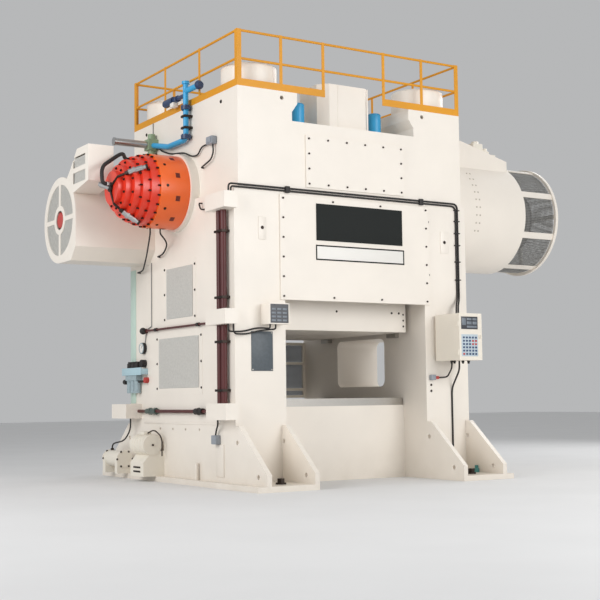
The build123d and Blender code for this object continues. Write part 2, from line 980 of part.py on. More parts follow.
def brake_housing():
    """Stepped drum on the brake's seat, hollow round the disc."""
    base = -half_crown - brake_mount_length
    points = [(base, 0), (base, brake_radius)] + brake_steps()
    points.append((points[-1][0], 0))
    body = turned_x(points, 0, crank_height)
    cavity_end = base - brake_cavity_length
    body -= rod_x(cavity_end, base + overrun, 0, crank_height, brake_cavity_radius)
    body -= rod_x(
        base - brake_length, base + overrun, 0, crank_height, journal_radius + brake_bore_gap
    )
    middle = base - brake_length * brake_slot_share
    for number in range(brake_slot_count):
        angle = 360 * number / brake_slot_count
        pocket = block(
            middle - brake_slot_size, middle, -brake_slot_size / 2, brake_slot_size / 2,
            brake_radius - brake_slot_depth, brake_radius + overrun,
        )
        body -= Pos(0, 0, crank_height) * Rot(angle, 0, 0) * pocket
    return body


def brake_bolts():
    """Studs standing out of the three outer steps of the brake's face."""
    steps = brake_steps()
    pieces = []
    for number, count in enumerate(brake_bolt_counts):
        ledge_x, outer = steps[2 * number]
        inner = steps[2 * number + 1][1]
        circle = (outer + inner) / 2
        for place in range(count):
            angle = 2 * pi * (place + number / 2) / count
            y = circle * cos(angle)
            z = crank_height + circle * sin(angle)
            outline = Pos(y, z) * RegularPolygon(brake_bolt_radius, 6)
            head = along_x(outline, ledge_x - brake_bolt_length, ledge_x)
            pieces.append(head)
    return pieces


def brake_disc():
    base = -half_crown - brake_mount_length
    middle = base - brake_cavity_length / 2
    disc = rod_x(
        middle - brake_disc_thickness / 2,
        middle + brake_disc_thickness / 2,
        0,
        crank_height,
        brake_disc_radius,
    )
    return disc - rod_x(middle - brake_length, middle + brake_length, 0, crank_height, journal_radius)


def hood_profile(radius):
    """Section of the motor's hood as (Y, Z): round, with a flat foot in front below."""
    corner = radius * sin(radians(hood_foot_angle))
    return Pos(motor_y, motor_z) * Circle(radius) + polygon(
        (motor_y, motor_z), (motor_y - radius, motor_z), (motor_y - radius, motor_z - corner),
        (motor_y - corner, motor_z - radius), (motor_y, motor_z - radius),
    )


def motor_hood():
    """Sheet hood round the motor, with the air duct standing on it."""
    face = motor_face + hood_wall
    body = along_x(hood_profile(hood_radius), face, -half_width)
    duct = along_x(duct_section(0), face, face + duct_length)
    body += duct
    inner = along_x(hood_profile(hood_radius - hood_wall), face - overrun, -half_width + overrun)
    inner += along_x(duct_section(hood_wall), face - overrun, face + duct_length - hood_wall)
    return body - inner


def duct_section(inset):
    """Duct outline, from the top of the round hood up to the bevelled box."""
    foot = motor_z + hood_radius / 2
    lean = hood_radius / 4
    return polygon(
        (motor_y - hood_radius + lean + inset, foot), (motor_y - lean - inset, foot + lean),
        (duct_back - inset, duct_top - duct_bevel - inset),
        (duct_back - duct_bevel - inset, duct_top - inset),
        (duct_front + inset, duct_top - inset), (duct_front + inset, duct_top - 2 * duct_bevel),
    )


def hood_face():
    """Front plate of the hood: a ring, four spokes and a hub over the fan, with the duct's windows."""
    plate_face = Pos(motor_y, motor_z) * Circle(hood_radius) + duct_section(0)
    ring_inner = hood_radius - hood_ring
    opening = Pos(motor_y, motor_z) * (Circle(ring_inner) - Circle(hood_hub_radius))
    spoke = Rectangle(2 * hood_radius, hood_spoke)
    for angle in hood_spoke_angles:
        opening -= Pos(motor_y, motor_z) * Rot(0, 0, angle) * spoke
    plate_face -= opening
    plate_face -= Pos(motor_y, motor_z) * Circle(hood_hub_bore)
    for low, high in duct_windows():
        middle = (duct_front + duct_back) / 2
        window = Pos(middle, (low + high) / 2) * Rectangle(duct_back - duct_front - 2 * hood_ring, high - low)
        plate_face -= window
    return along_x(plate_face, motor_face, motor_face + hood_wall)


def duct_windows():
    """Low and high edges of the two windows in the duct."""
    top = duct_top - hood_ring
    height = (duct_top - motor_z - hood_radius / 2) / 4
    return [(top - height, top), (top - 2 * height - hood_spoke, top - height - hood_spoke)]


def hood_screen():
    """Fine mesh behind the openings of the hood's front plate."""
    depth = motor_face + hood_wall
    inner = hood_radius - 2 * hood_wall
    disc = Pos(motor_y, motor_z) * (Circle(inner) - Circle(hood_hub_bore))
    panel = along_x(disc, depth, depth + guard_screen)
    low = duct_windows()[1][0] - hood_wall
    high = duct_windows()[0][1] + hood_spoke / 2
    front = duct_front + hood_ring / 2
    back = duct_back - hood_ring - duct_bevel / 2
    return [panel, block(depth, depth + guard_screen, front, back, low, high)]


def motor_stator():
    """Finned motor body on the outside of the left upright."""
    end = -half_width
    start = end - motor_length
    body = rod_x(start, end, motor_y, motor_z, motor_radius)
    bore = fan_radius + motor_fin
    body -= rod_x(start - overrun, end - motor_end_bell, motor_y, motor_z, bore)
    body -= rod_x(start, end + overrun, motor_y, motor_z, back_shaft_radius + motor_end_bell / 2)
    for number in range(motor_fin_count):
        fin = block(
            start + motor_end_bell, end - motor_end_bell, -motor_fin_width / 2, motor_fin_width / 2,
            motor_radius - motor_fin, motor_radius + motor_fin,
        )
        body += Pos(0, motor_y, motor_z) * Rot(360 * number / motor_fin_count, 0, 0) * fin
    return body


def back_shaft():
    """Motor shaft running through both uprights to the belt pulley on the right."""
    start = motor_face + motor_gap
    belt_zone = belt_count * belt_pitch
    pulley_start = flywheel_start
    shaft = rod_x(start, pulley_start + belt_zone, motor_y, motor_z, back_shaft_radius)
    rotor_start = -half_width - motor_length + motor_end_bell
    rotor_end = -half_width - 2 * motor_end_bell
    shaft += rod_x(rotor_start, rotor_end, motor_y, motor_z, fan_radius)
    points = [(pulley_start, back_shaft_radius / 2), (pulley_start, pulley_radius)]
    points += groove_points(pulley_start, pulley_radius)
    points += [(pulley_start + belt_zone, pulley_radius), (pulley_start + belt_zone, back_shaft_radius / 2)]
    return shaft + turned_x(points, motor_y, motor_z)


def groove_points(start, radius):
    """Profile points of the belt grooves, as (X, radius)."""
    points = []
    for number in range(belt_count):
        middle = start + belt_pitch * (number + 0.5)
        half = belt_width / 2
        bottom = radius - belt_groove
        points += [
            (middle - half, radius), (middle - half, bottom), (middle + half, bottom), (middle + half, radius)
        ]
    return points


def motor_fan():
    """Red fan hub on the motor's outer end, seen through the hood's middle."""
    start = motor_face + hood_wall + guard_screen + motor_fin
    end = start + fan_length
    hub = turned_x(
        [
            (start, 0),
            (start, fan_radius * fan_nose_share),
            (start + motor_fin, fan_radius),
            (end, fan_radius),
            (end, 0),
        ],
        motor_y, motor_z,
    )
    shaft_start = motor_face + motor_gap
    return hub - rod_x(shaft_start, end + overrun, motor_y, motor_z, back_shaft_radius)


def back_bushes():
    """Bushes for the back shaft in the uprights' side plates."""
    pieces = []
    for x0 in (half_opening, half_width - plate):
        bush = bush_x(x0, x0 + plate, motor_y, motor_z, back_shaft_radius, back_bush_wall)
        pieces += [bush, mirrored(bush)]
    return pieces


def flywheel_quill():
    """Fixed sleeve on the frame's right side that carries the flywheel."""
    end = flywheel_start + flywheel_width
    bore = journal_radius + brake_bore_gap
    neck = crank_height - upright_top - face_clearance
    flange_end = half_width + quill_flange
    return turned_x(
        [
            (half_crown, bore), (end, bore), (end, quill_radius), (flange_end, quill_radius),
            (flange_end, quill_flange_radius),
            (half_width, quill_flange_radius),
            (half_width, neck),
            (half_crown, neck),
        ],
        0, crank_height,
    )


def flywheel():
    """Grooved rim, web and hub in one casting."""
    start = flywheel_start
    end = start + flywheel_width
    middle = (start + end) / 2
    bore = quill_radius + running_clearance
    inner = flywheel_radius - flywheel_rim
    web = flywheel_web / 2
    points = [(start, bore), (start, flywheel_hub), (middle - web, flywheel_hub)]
    points += [(middle - web, inner), (start, inner)]
    points += [(start, flywheel_radius)] + groove_points(start, flywheel_radius)
    points += [(end, flywheel_radius), (end, inner), (middle + web, inner), (middle + web, flywheel_hub)]
    points += [(end, flywheel_hub), (end, bore)]
    return turned_x(points, 0, crank_height)


def belts():
    """Endless belts from the back shaft's pulley to the flywheel."""
    big = flywheel_radius - belt_groove + face_clearance
    small = pulley_radius - belt_groove + face_clearance
    outer = make_hull([
        (Pos(0, crank_height) * Circle(big + belt_height)).edge(),
        (Pos(motor_y, motor_z) * Circle(small + belt_height)).edge(),
    ])
    inner = make_hull([
        (Pos(0, crank_height) * Circle(big)).edge(),
        (Pos(motor_y, motor_z) * Circle(small)).edge(),
    ])
    loop = outer - inner
    half = belt_width / 2 - face_clearance
    pieces = []
    for number in range(belt_count):
        middle = flywheel_start + belt_pitch * (number + 0.5)
        pieces.append(along_x(loop, middle - half, middle + half))
    return pieces


def clutch_housing():
    """Finned clutch drum carried on a tube from the flywheel's web."""
    start = flywheel_start + flywheel_width
    drum_start = guard_band_start + clutch_gap
    drum_end = drum_start + clutch_width
    tube_inner = clutch_tube_radius - clutch_tube_wall
    shaft_gap = journal_radius + clutch_gap / 2
    points = [
        (start, tube_inner - clutch_tube_wall), (start, clutch_tube_radius), (drum_start, clutch_tube_radius),
        (drum_start, clutch_radius),
    ]
    pitch = clutch_width / clutch_fin_count
    for number in range(clutch_fin_count):
        left = drum_start + pitch * number + clutch_fin_width
        right = drum_start + pitch * (number + 1)
        points += [
            (left, clutch_radius), (left, clutch_radius - clutch_fin),
            (right - clutch_fin_width / 2, clutch_radius - clutch_fin),
            (right - clutch_fin_width / 2, clutch_radius),
        ]
    points += [
        (drum_end, clutch_radius), (drum_end, shaft_gap), (drum_end - clutch_wall, shaft_gap),
        (drum_end - clutch_wall, clutch_radius - clutch_fin - clutch_wall),
        (drum_start + clutch_wall, clutch_radius - clutch_fin - clutch_wall),
        (drum_start + clutch_wall, tube_inner), (start + clutch_wall, tube_inner),
        (start + clutch_wall, tube_inner - clutch_tube_wall),
    ]
    return turned_x(points, 0, crank_height)


def clutch_hub():
    """Friction disc on the eccentric shaft, inside the clutch drum."""
    middle = guard_band_start + clutch_gap + clutch_width / 2
    half = clutch_hub_width / 2
    disc = rod_x(middle - half, middle + half, 0, crank_height, clutch_hub_radius)
    return disc - rod_x(middle - clutch_width, middle + clutch_width, 0, crank_height, journal_radius)


def guard_hull(inset):
    """Belt guard outline round the flywheel and the pulley, as (Y, Z)."""
    return make_hull([
        (Pos(0, crank_height) * Circle(guard_radius - inset)).edge(),
        (Pos(motor_y, motor_z) * Circle(guard_tail_radius - inset)).edge(),
    ])


def roof(inset):
    """Sloping roof over the plain part of the flywheel guard, as a prism across Y."""
    top = crank_height + guard_radius
    face = polygon(
        (half_width, crank_height),
        (half_width, top + roof_rise - inset),
        (roof_flat_end, top + roof_rise - inset),
        (guard_band_start - inset, top - inset), (guard_band_start - inset, crank_height),
    )
    return along_y(face, -roof_half + inset, roof_half - inset)


def housing_outline(inset):
    """Belt guard and roof seen along the shaft, as (Y, Z)."""
    half = roof_half - inset
    top = crank_height + guard_radius + roof_rise - inset
    return guard_hull(inset) + polygon((-half, crank_height), (half, crank_height), (half, top), (-half, top))


def flywheel_housing():
    """Sheet housing over the flywheel and belts, open to the right into the mesh drum."""
    wall = guard_wall
    body = along_x(guard_hull(0), half_width, guard_shell_end)
    body += rod_x(half_width, guard_band_start, 0, crank_height, guard_radius)
    body += roof(0)
    inside = along_x(guard_hull(wall), half_width + wall, guard_shell_end - wall)
    inside += rod_x(half_width + wall, guard_band_start + overrun, 0, crank_height, guard_radius - wall)
    inside += roof(wall) - block(guard_shell_end, guard_end, -guard_radius, guard_radius, 0, crank_height)
    body -= inside
    skirt = along_x(housing_outline(0) - housing_outline(wall), half_crown, half_width + wall)
    body += skirt - block(0, half_width, -guard_end, guard_end, 0, upright_top)
    body -= rod_x(half_width - overrun, half_width + wall + overrun, 0, crank_height,
                  quill_flange_radius + face_clearance)
    shaft_hole = back_shaft_radius + back_bush_wall
    return body - rod_x(half_width - overrun, half_width + wall + overrun, motor_y, motor_z, shaft_hole)


def guard_cage():
    """Mesh drum's frame: two hoops, ribs along the drum, and an end ring with spokes."""
    ring = Circle(guard_radius) - Circle(guard_radius - guard_rim_depth)
    centre = Pos(0, crank_height)
    body = along_x(centre * ring, guard_band_start, guard_band_start + guard_rim)
    body += along_x(centre * ring, guard_end - guard_rim, guard_end)
    for number in range(guard_rib_count):
        angle = 360 * (number + 0.5) / guard_rib_count
        low = guard_radius - guard_rim_depth + guard_screen
        rib = block(guard_band_start, guard_end, -guard_rib / 2, guard_rib / 2, low, low + guard_rib_depth)
        body += Pos(0, 0, crank_height) * Rot(angle, 0, 0) * rib
    spokes = centre * Rectangle(2 * (guard_radius - guard_rim_depth / 2), guard_spoke)
    spokes += centre * Rectangle(guard_spoke, 2 * (guard_radius - guard_rim_depth / 2))
    return body + along_x(spokes, guard_end - guard_rim, guard_end - guard_rim / 2)


def guard_mesh():
    """Curved mesh sheet inside the drum's ribs, and the flat mesh over its end."""
    outer = guard_radius - guard_rim_depth
    centre = Pos(0, crank_height)
    ring = centre * (Circle(outer) - Circle(outer - guard_screen))
    sheet = along_x(ring, guard_band_start, guard_end - guard_rim - guard_screen)
    end = rod_x(guard_end - guard_rim - guard_screen, guard_end - guard_rim, 0, crank_height, outer)
    return [sheet, end]


def control_corner():
    """Left, right, front and back of the control box."""
    left = control_x - control_width / 2
    right = control_x + control_width / 2
    back = front_plane - control_bracket
    return left, right, back - control_depth, back


def control_box():
    """Deep sheet box, open to the front, where its door closes it."""
    left, right, front, back = control_corner()
    low = control_z - control_height / 2
    high = control_z + control_height / 2
    front += control_door_thickness
    body = block(left, right, front, back, low, high)
    wall = control_wall
    return body - block(left + wall, right - wall, front - overrun, back - wall, low + wall, high - wall)


def control_bracket_plate():
    """Channel between the control box and the upright's front plate."""
    left, right, front, back = control_corner()
    low = control_z - control_height / 3
    high = control_z + control_height / 3
    outer = half_width - control_bracket
    body = block(left + control_bracket, outer, back, front_plane, low, high)
    wall = control_wall * 2
    return body - block(left + control_bracket + wall, outer - wall, back + wall, front_plane + overrun,
                        low - overrun, high + overrun)


def control_hinge_line():
    """X and Y of the door's hinge pins, at the box's left front edge."""
    left, right, front, back = control_corner()
    return left - control_hinge_radius - face_clearance, front + control_door_thickness / 2


def control_door():
    """Door of the control box with its hinge knuckles' upper halves."""
    left, right, front, back = control_corner()
    low = control_z - control_height / 2
    high = control_z + control_height / 2
    y1 = front + control_door_thickness - face_clearance
    door = block(left, right, front, y1, low, high)
    hinge_x, hinge_y = control_hinge_line()
    for z in control_hinge_heights():
        knuckle = rod_z(hinge_x, hinge_y, z, z + control_hinge_height / 2, control_hinge_radius)
        strap = block(hinge_x, left + overrun, hinge_y - control_wall / 2, hinge_y + control_wall / 2,
                      z, z + control_hinge_height / 2)
        door += knuckle + strap
        bore = control_pin_radius + running_clearance
        door -= rod_z(hinge_x, hinge_y, z - overrun, z + control_hinge_height, bore)
    return door


def control_hinge_heights():
    reach = control_height / 3
    return [control_z - reach, control_z + reach - control_hinge_height / 2]


def control_hinges():
    """Lower hinge knuckles with their pins, on the box's left wall."""
    left, right, front, back = control_corner()
    hinge_x, hinge_y = control_hinge_line()
    pieces = []
    for z in control_hinge_heights():
        low = z - control_hinge_height / 2
        knuckle = rod_z(hinge_x, hinge_y, low, z - face_clearance, control_hinge_radius)
        seat = front + control_door_thickness
        edge = hinge_x - control_wall / 2
        upper = z - face_clearance
        strap = block(edge, left - face_clearance, hinge_y, seat, low, upper)
        strap += block(edge, left, seat, seat + control_hinge_height, low, upper)
        pin = rod_z(hinge_x, hinge_y, low, z + control_hinge_height / 2, control_pin_radius)
        pieces.append(knuckle + strap + pin)
    return pieces


def door_latch():
    left, right, front, back = control_corner()
    x = right - latch_size
    z = control_z
    body = rod_y(x, front - latch_depth, front, z, latch_size / 2)
    wing = latch_size / 6
    low = z - latch_size / 2
    back = front - latch_depth / 2
    return body + block(x - wing, x + wing, front - 2 * latch_depth, back, low, low + latch_size)


def indicator_panel():
    """Pressure indicator box on the left upright's front, with a raised bezel."""
    face = front_plane - panel_depth
    body = block(panel_left, panel_right, face, front_plane, panel_low, panel_high)
    bezel = panel_bezel
    return body - block(panel_left + bezel, panel_right - bezel, face - overrun, face + bezel,
                        panel_low + bezel, panel_high - bezel)


def conduits():
    """Two oil pipes up the left front corner."""
    spread = conduit_radius + conduit_gap / 2
    pieces = []
    for y in (conduit_y - spread, conduit_y + spread):
        pieces.append(rod_z(conduit_x, y, conduit_low, conduit_top, conduit_radius))
    return pieces


def cross_pipes():
    """Level pipes along the left side: one to a capped end, one between the low boxes."""
    box_back = front_plane + junction_side
    x = -half_width - cross_pipe_stand
    z = junction_levels[1] + cross_pipe_rise
    end = half_depth - cross_pipe_inset
    pipe = rod_y(x, box_back, end, z, cross_pipe_radius)
    knob = rod_x(-half_width - cross_knob_depth, -half_width, end, z, cross_knob_radius)
    middle = junction_levels[-1] + junction_heights[-1] / 2
    aux_front = half_depth + aux_box_depth / 2 - aux_box_length
    link = rod_y(-half_width - link_pipe_stand, box_back, aux_front, middle, link_pipe_radius)
    return [pipe + knob, link]


def conduit_clamps():
    """Saddle clamps that hold the pipes on the side plate."""
    spread = conduit_radius + conduit_gap / 2
    reach = spread + conduit_radius + clamp_wall
    outer = conduit_x - conduit_radius - clamp_wall
    pieces = []
    for share in oil_clamp_shares:
        z = conduit_low + (conduit_top - conduit_low) * share
        body = block(outer, -half_width, conduit_y - reach, conduit_y + reach, z, z + clamp_height)
        for y in (conduit_y - spread, conduit_y + spread):
            body -= rod_z(conduit_x, y, z - overrun, z + clamp_height + overrun, conduit_radius)
        pieces.append(body)
    return pieces


def junction_boxes():
    """Corner boxes of the wiring, wrapped round the left front edge, and one at the back."""
    pieces = []
    for level, height in zip(junction_levels, junction_heights):
        side = block(
            -half_width - junction_depth, -half_width, front_plane - junction_depth / 2,
            front_plane + junction_side, level, level + height,
        )
        if level < conduit_top and level + height > conduit_low:
            spread = conduit_radius + conduit_gap / 2
            for y in (conduit_y - spread, conduit_y + spread):
                side -= rod_z(conduit_x, y, conduit_low, conduit_top, conduit_radius)
        pieces.append(side)
    low = junction_levels[-1]
    back = half_depth + aux_box_depth / 2
    pieces.append(
        block(
            -half_width - aux_box_depth,
            -half_width,
            back - aux_box_length,
            back,
            low,
            low + junction_heights[-1],
        )
    )
    return pieces


def air_pipe():
    """Blue air line up the crown's side to the rail, with a foot towards the valve."""
    x = -half_crown - air_pipe_stand
    turn = (x, (air_pipe_y + valve_y) / 2, air_pipe_low)
    riser = [(x, air_pipe_y, air_pipe_top), (x, air_pipe_y, air_pipe_low), turn, (x, valve_y, valve_z)]
    pipe = swept(riser, air_pipe_radius, air_elbow)
    cap = rod_z(x, air_pipe_y, air_pipe_top, air_pipe_top + air_pipe_radius, air_pipe_radius * sqrt(2))
    half = valve_size / 2
    void = block(x - half, x + half, valve_y - half, valve_y + half, valve_z - half, valve_z + half)
    return pipe + cap - void


def air_pipe_clamps():
    x = -half_crown - air_pipe_stand
    outer = x - air_pipe_radius - clamp_wall
    reach = air_pipe_radius + 2 * clamp_wall
    pieces = []
    for share in air_clamp_shares:
        z = air_pipe_low + air_elbow + (crown_top - air_pipe_low - air_elbow) * share
        body = block(outer, -half_crown, air_pipe_y - reach, air_pipe_y + reach, z, z + clamp_height)
        pieces.append(body - rod_z(x, air_pipe_y, z - overrun, z + clamp_height + overrun, air_pipe_radius))
    return pieces


def brake_valve():
    """Valve block on the crown's side, fed by the air line."""
    x0 = -half_crown - air_pipe_stand - valve_size / 2
    half = valve_size / 2
    body = block(x0, -half_crown, valve_y - half, valve_y + half, valve_z - half, valve_z + half)
    neck = half * valve_neck_share
    return body + rod_z(x0 + half, valve_y, valve_z - valve_size, valve_z + valve_size, neck)


def silencer():
    """Exhaust silencer standing out of the valve, with a collar at its end."""
    start = -half_crown - air_pipe_stand - valve_size / 2
    end = start - silencer_length
    body = rod_x(end, start, valve_y, valve_z, silencer_radius)
    return body + rod_x(end, end + silencer_cap, valve_y, valve_z, silencer_radius + silencer_rim)


def brake_hose():
    """Hose from the valve over to the brake's hub."""
    hub_x = brake_steps()[-1][0]
    points = [(-half_crown - air_pipe_stand, valve_y, valve_z - valve_size)] + list(hose_route)
    points.append((hub_x, 0, hose_route[-1][2]))
    return swept(points, hose_radius, hose_bend)


def gauge():
    """Round pressure gauge on the left side."""
    z = service_low + gauge_rise
    body = rod_x(-half_width - gauge_depth, -half_width, service_y - gauge_radius, z, gauge_radius)
    face = -half_width - gauge_depth
    y = service_y - gauge_radius
    rim = rod_x(face - overrun, face + overrun, y, z, gauge_radius)
    return body + (rim - rod_x(face - 2 * overrun, face + overrun, y, z, gauge_radius * gauge_face_share))


def air_service_unit():
    """Filter, regulator and lubricator in a row, on a bracket at the left side's back edge."""
    x0 = -half_width - service_block
    z = service_low + service_bowl_height
    body = block(x0, -half_width, service_y, service_y + service_length, z, z + service_block)
    pitch = service_length / 3
    for number in range(3):
        y = service_y + pitch * (number + 0.5)
        body += rod_z(x0 + service_block / 2, y, service_low, z, service_bowl_radius)
        low = z + service_block
        body += rod_z(x0 + service_block / 2, y, low, low + service_knob, service_knob_radius)
    return body


def lube_motor():
    """Lubrication pump motor on the left foot, in its sheet cradle."""
    x = -half_width - lube_box_width / 2 - lube_stand / 2
    low = base_thickness
    cradle = along_y(
        polygon(
            (x - lube_box_width / 2, low), (-half_width, low), (-half_width, low + lube_box_height),
            (x, low + lube_box_height), (x - lube_box_width / 2, low + lube_box_height * lube_slope_share),
        ),
        lube_y, lube_y + lube_box_length,
    )
    centre_z = low + lube_box_height + lube_motor_radius * lube_seat_share
    barrel = rod_y(x, lube_y - overrun, lube_y - overrun + lube_motor_length, centre_z, lube_motor_radius)
    return cradle + barrel


def lube_pump():
    """Second pump body lying behind the lubrication motor, on two feet."""
    x = -half_width - lube_box_width / 2 - lube_stand / 2
    z = base_thickness + lube_stand + lube_pump_radius
    body = rod_y(x, lube_pump_y, lube_pump_y + lube_pump_length, z, lube_pump_radius)
    for y in (lube_pump_y, lube_pump_y + lube_pump_length - lube_stand):
        body += block(x - lube_pump_radius, x + lube_pump_radius, y, y + lube_stand, base_thickness, z)
    return body


def rear_guard():
    """Welded tube frame of the safety screen across the back of the opening."""
    y0 = half_depth - rear_tube
    low = bolster_top + rear_gap
    body = block(-half_opening, half_opening, y0, half_depth, rear_top - rear_tube, rear_top)
    for z in (low, *rear_bar_levels):
        body += block(-half_opening, half_opening, y0, half_depth, z, z + rear_tube)
    for x in (-half_opening, -rear_tube / 2, half_opening - rear_tube):
        body += block(x, x + rear_tube, y0, half_depth, low, rear_top)
    return body


def wiring_leads():
    """Leads of the wiring: along the front to the control box and its foot, and the short ones."""
    y = front_plane - cable_radius
    box_top = control_z + control_height / 2
    box_low = control_z - control_height / 2
    corner_top = junction_levels[0] + junction_heights[0]
    routes = []
    for number in range(2):
        level = cable_level + cable_pitch * number
        left = -half_width - cable_corner - cable_pitch * number
        right = cable_drop_x + cable_pitch * number
        ahead = y - cable_loop
        routes.append([
            (left, y, corner_top), (left, y, level), (right, y, level), (right, y, box_top + 2 * cable_loop),
            (right - cable_loop, ahead, box_top + cable_loop), (right - cable_loop, ahead, box_top),
        ])
    foot_y = y - control_bracket - cable_loop
    routes.append([
        (cable_foot_x, foot_y, box_low), (cable_foot_x, foot_y, box_low - cable_loop),
        (cable_foot_x, y, box_low - 3 * cable_loop), (cable_foot_x, y, base_thickness),
    ])
    pieces = [swept(points, cable_radius, cable_bend) for points in routes]
    return pieces + [swept(points, lead_radius, lead_bend) for points in lead_routes]


def anchor_bolts():
    """Hexagon nuts over washers on the feet, one at each anchor hole."""
    pieces = []
    for x in (-anchor_x, anchor_x):
        for y in (-half_depth - anchor_reach, half_depth + anchor_reach):
            washer = along_z(
                Pos(x, y) * Circle(anchor_radius * 2), base_thickness, base_thickness + anchor_washer
            )
            head = along_z(
                Pos(x, y) * RegularPolygon(anchor_nut_radius, 6), base_thickness + anchor_washer,
                base_thickness + anchor_washer + anchor_head_height,
            )
            bore = rod_z(x, y, 0, crown_top, anchor_radius)
            pieces.append(washer + head - bore)
    return pieces


def main():
    save("right_upright", upright(False))
    save("left_upright", mirrored(upright(True)))
    save("bed", bed())
    save("bolster", bolster())
    save("slide", slide())
    save("ball_pads", *ball_pads())
    save("slide_gibs", *gibs())
    save("crown", crown())
    save("shaft_bushes", *main_bushes(), *back_bushes())
    save("eccentric_shaft", eccentric_shaft())
    for name, x in (("left", -eccentric_offset), ("right", eccentric_offset)):
        save(f"{name}_connecting_rod", connecting_rod(x))
        save(f"{name}_rod_cap", rod_cap(x))
    save("tie_rods", *tie_rods())
    save("tie_rod_nuts", *tie_rod_nuts())
    save("balance_cylinders", *balance_cylinders())
    save("balance_rods", *balance_rods())
    save("front_cover", cover(cover_half, cover_low, cover_high, front_plane, -1))
    save("upper_front_cover", cover(upper_cover_half, upper_cover_low, upper_cover_high, front_plane, -1))
    save("rear_cover", cover(cover_half, cover_low, cover_high, half_depth, 1))
    save("cover_bolts", *cover_bolts())
    vent = screen(vent_front, vent_back, vent_low, vent_high, -half_width)
    window = screen(-window_half_depth, window_half_depth, window_low, window_high, -half_width)
    save("side_screens", vent, window)
    save("centre_housing", centre_housing())
    save("guard_rail", guard_rail())
    save("brake_mount", brake_mount())
    save("brake_housing", brake_housing())
    save("brake_bolts", *brake_bolts())
    save("brake_disc", brake_disc())
    save("motor_hood", motor_hood())
    save("motor_hood_face", hood_face())
    save("motor_hood_screen", *hood_screen())
    save("motor_stator", motor_stator())
    save("motor_fan", motor_fan())
    save("back_shaft", back_shaft())
    save("flywheel_quill", flywheel_quill())
    save("flywheel", flywheel())
    save("drive_belts", *belts())
    save("clutch_housing", clutch_housing())
    save("clutch_hub", clutch_hub())
    save("flywheel_housing", flywheel_housing())
    save("flywheel_guard_cage", guard_cage())
    save("flywheel_guard_mesh", *guard_mesh())
    save("control_box", control_box() + control_bracket_plate())
    save("control_box_door", control_door() + door_latch())
    save("control_box_hinges", *control_hinges())
    save("indicator_panel", indicator_panel())
    save("oil_pipes", *conduits(), *cross_pipes())
    save("pipe_clamps", *conduit_clamps(), *air_pipe_clamps())
    save("junction_boxes", *junction_boxes())
    save("air_pipe", air_pipe())
    save("brake_valve", brake_valve())
    save("exhaust_silencer", silencer())
    save("brake_hose", brake_hose())
    save("air_service_unit", gauge(), air_service_unit())
    save("lube_motor", lube_motor())
    save("lube_pump", lube_pump())
    save("rear_guard", rear_guard())
    save("wiring_leads", *wiring_leads())
    save("anchor_bolts", *anchor_bolts())


main()
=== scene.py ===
"""Looks of the stamping press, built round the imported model. Metres, in the model's own frame."""
import json
import math

import bmesh
import bpy
from mathutils import Matrix, Vector


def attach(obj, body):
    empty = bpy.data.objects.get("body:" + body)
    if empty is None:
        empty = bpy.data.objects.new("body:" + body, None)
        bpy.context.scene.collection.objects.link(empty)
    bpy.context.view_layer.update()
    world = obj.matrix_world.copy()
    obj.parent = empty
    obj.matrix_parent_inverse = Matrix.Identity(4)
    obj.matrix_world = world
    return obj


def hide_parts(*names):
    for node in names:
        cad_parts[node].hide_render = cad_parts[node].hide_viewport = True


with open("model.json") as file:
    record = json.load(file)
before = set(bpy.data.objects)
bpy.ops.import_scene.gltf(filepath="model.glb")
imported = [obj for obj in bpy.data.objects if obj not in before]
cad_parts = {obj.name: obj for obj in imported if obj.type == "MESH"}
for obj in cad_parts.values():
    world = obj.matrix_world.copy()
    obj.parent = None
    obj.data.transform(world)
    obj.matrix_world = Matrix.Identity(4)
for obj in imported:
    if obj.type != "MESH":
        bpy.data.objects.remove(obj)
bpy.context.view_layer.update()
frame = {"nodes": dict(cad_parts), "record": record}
nodes = frame["nodes"]
scene = bpy.context.scene
scene.view_settings.view_transform = "Standard"

# Camera: place, aim and focal length read from the photograph's vanishing lines
camera_place = Vector((-11.172, -18.094, 1.347))
camera_yaw = 0.5572
camera_pitch = 0.081
camera_roll = -0.0125
camera_lens = 72.93
sensor_width = 36.0
camera_reach = 200

# Main planes and centres of the machine
side = -2.27
crown_side = -2.195
front = -1.925
cover_front = -1.95
upper_cover_front = -1.73
slide_front = -1.485
door_front = -2.605
base_top = 0.085
shaft_z = 4.78
drum_end = -2.865
hose_z = 4.84
motor_y = 1.64
motor_z = 4.45
hood_screen_x = -3.703

# Directions in which screw heads stand out
leftwards = Vector((-1, 0, 0))
forwards = Vector((0, -1, 0))

# Sockets of the colour mix node
mix_factor = 0
mix_first = 6
mix_second = 7
mix_result = 2

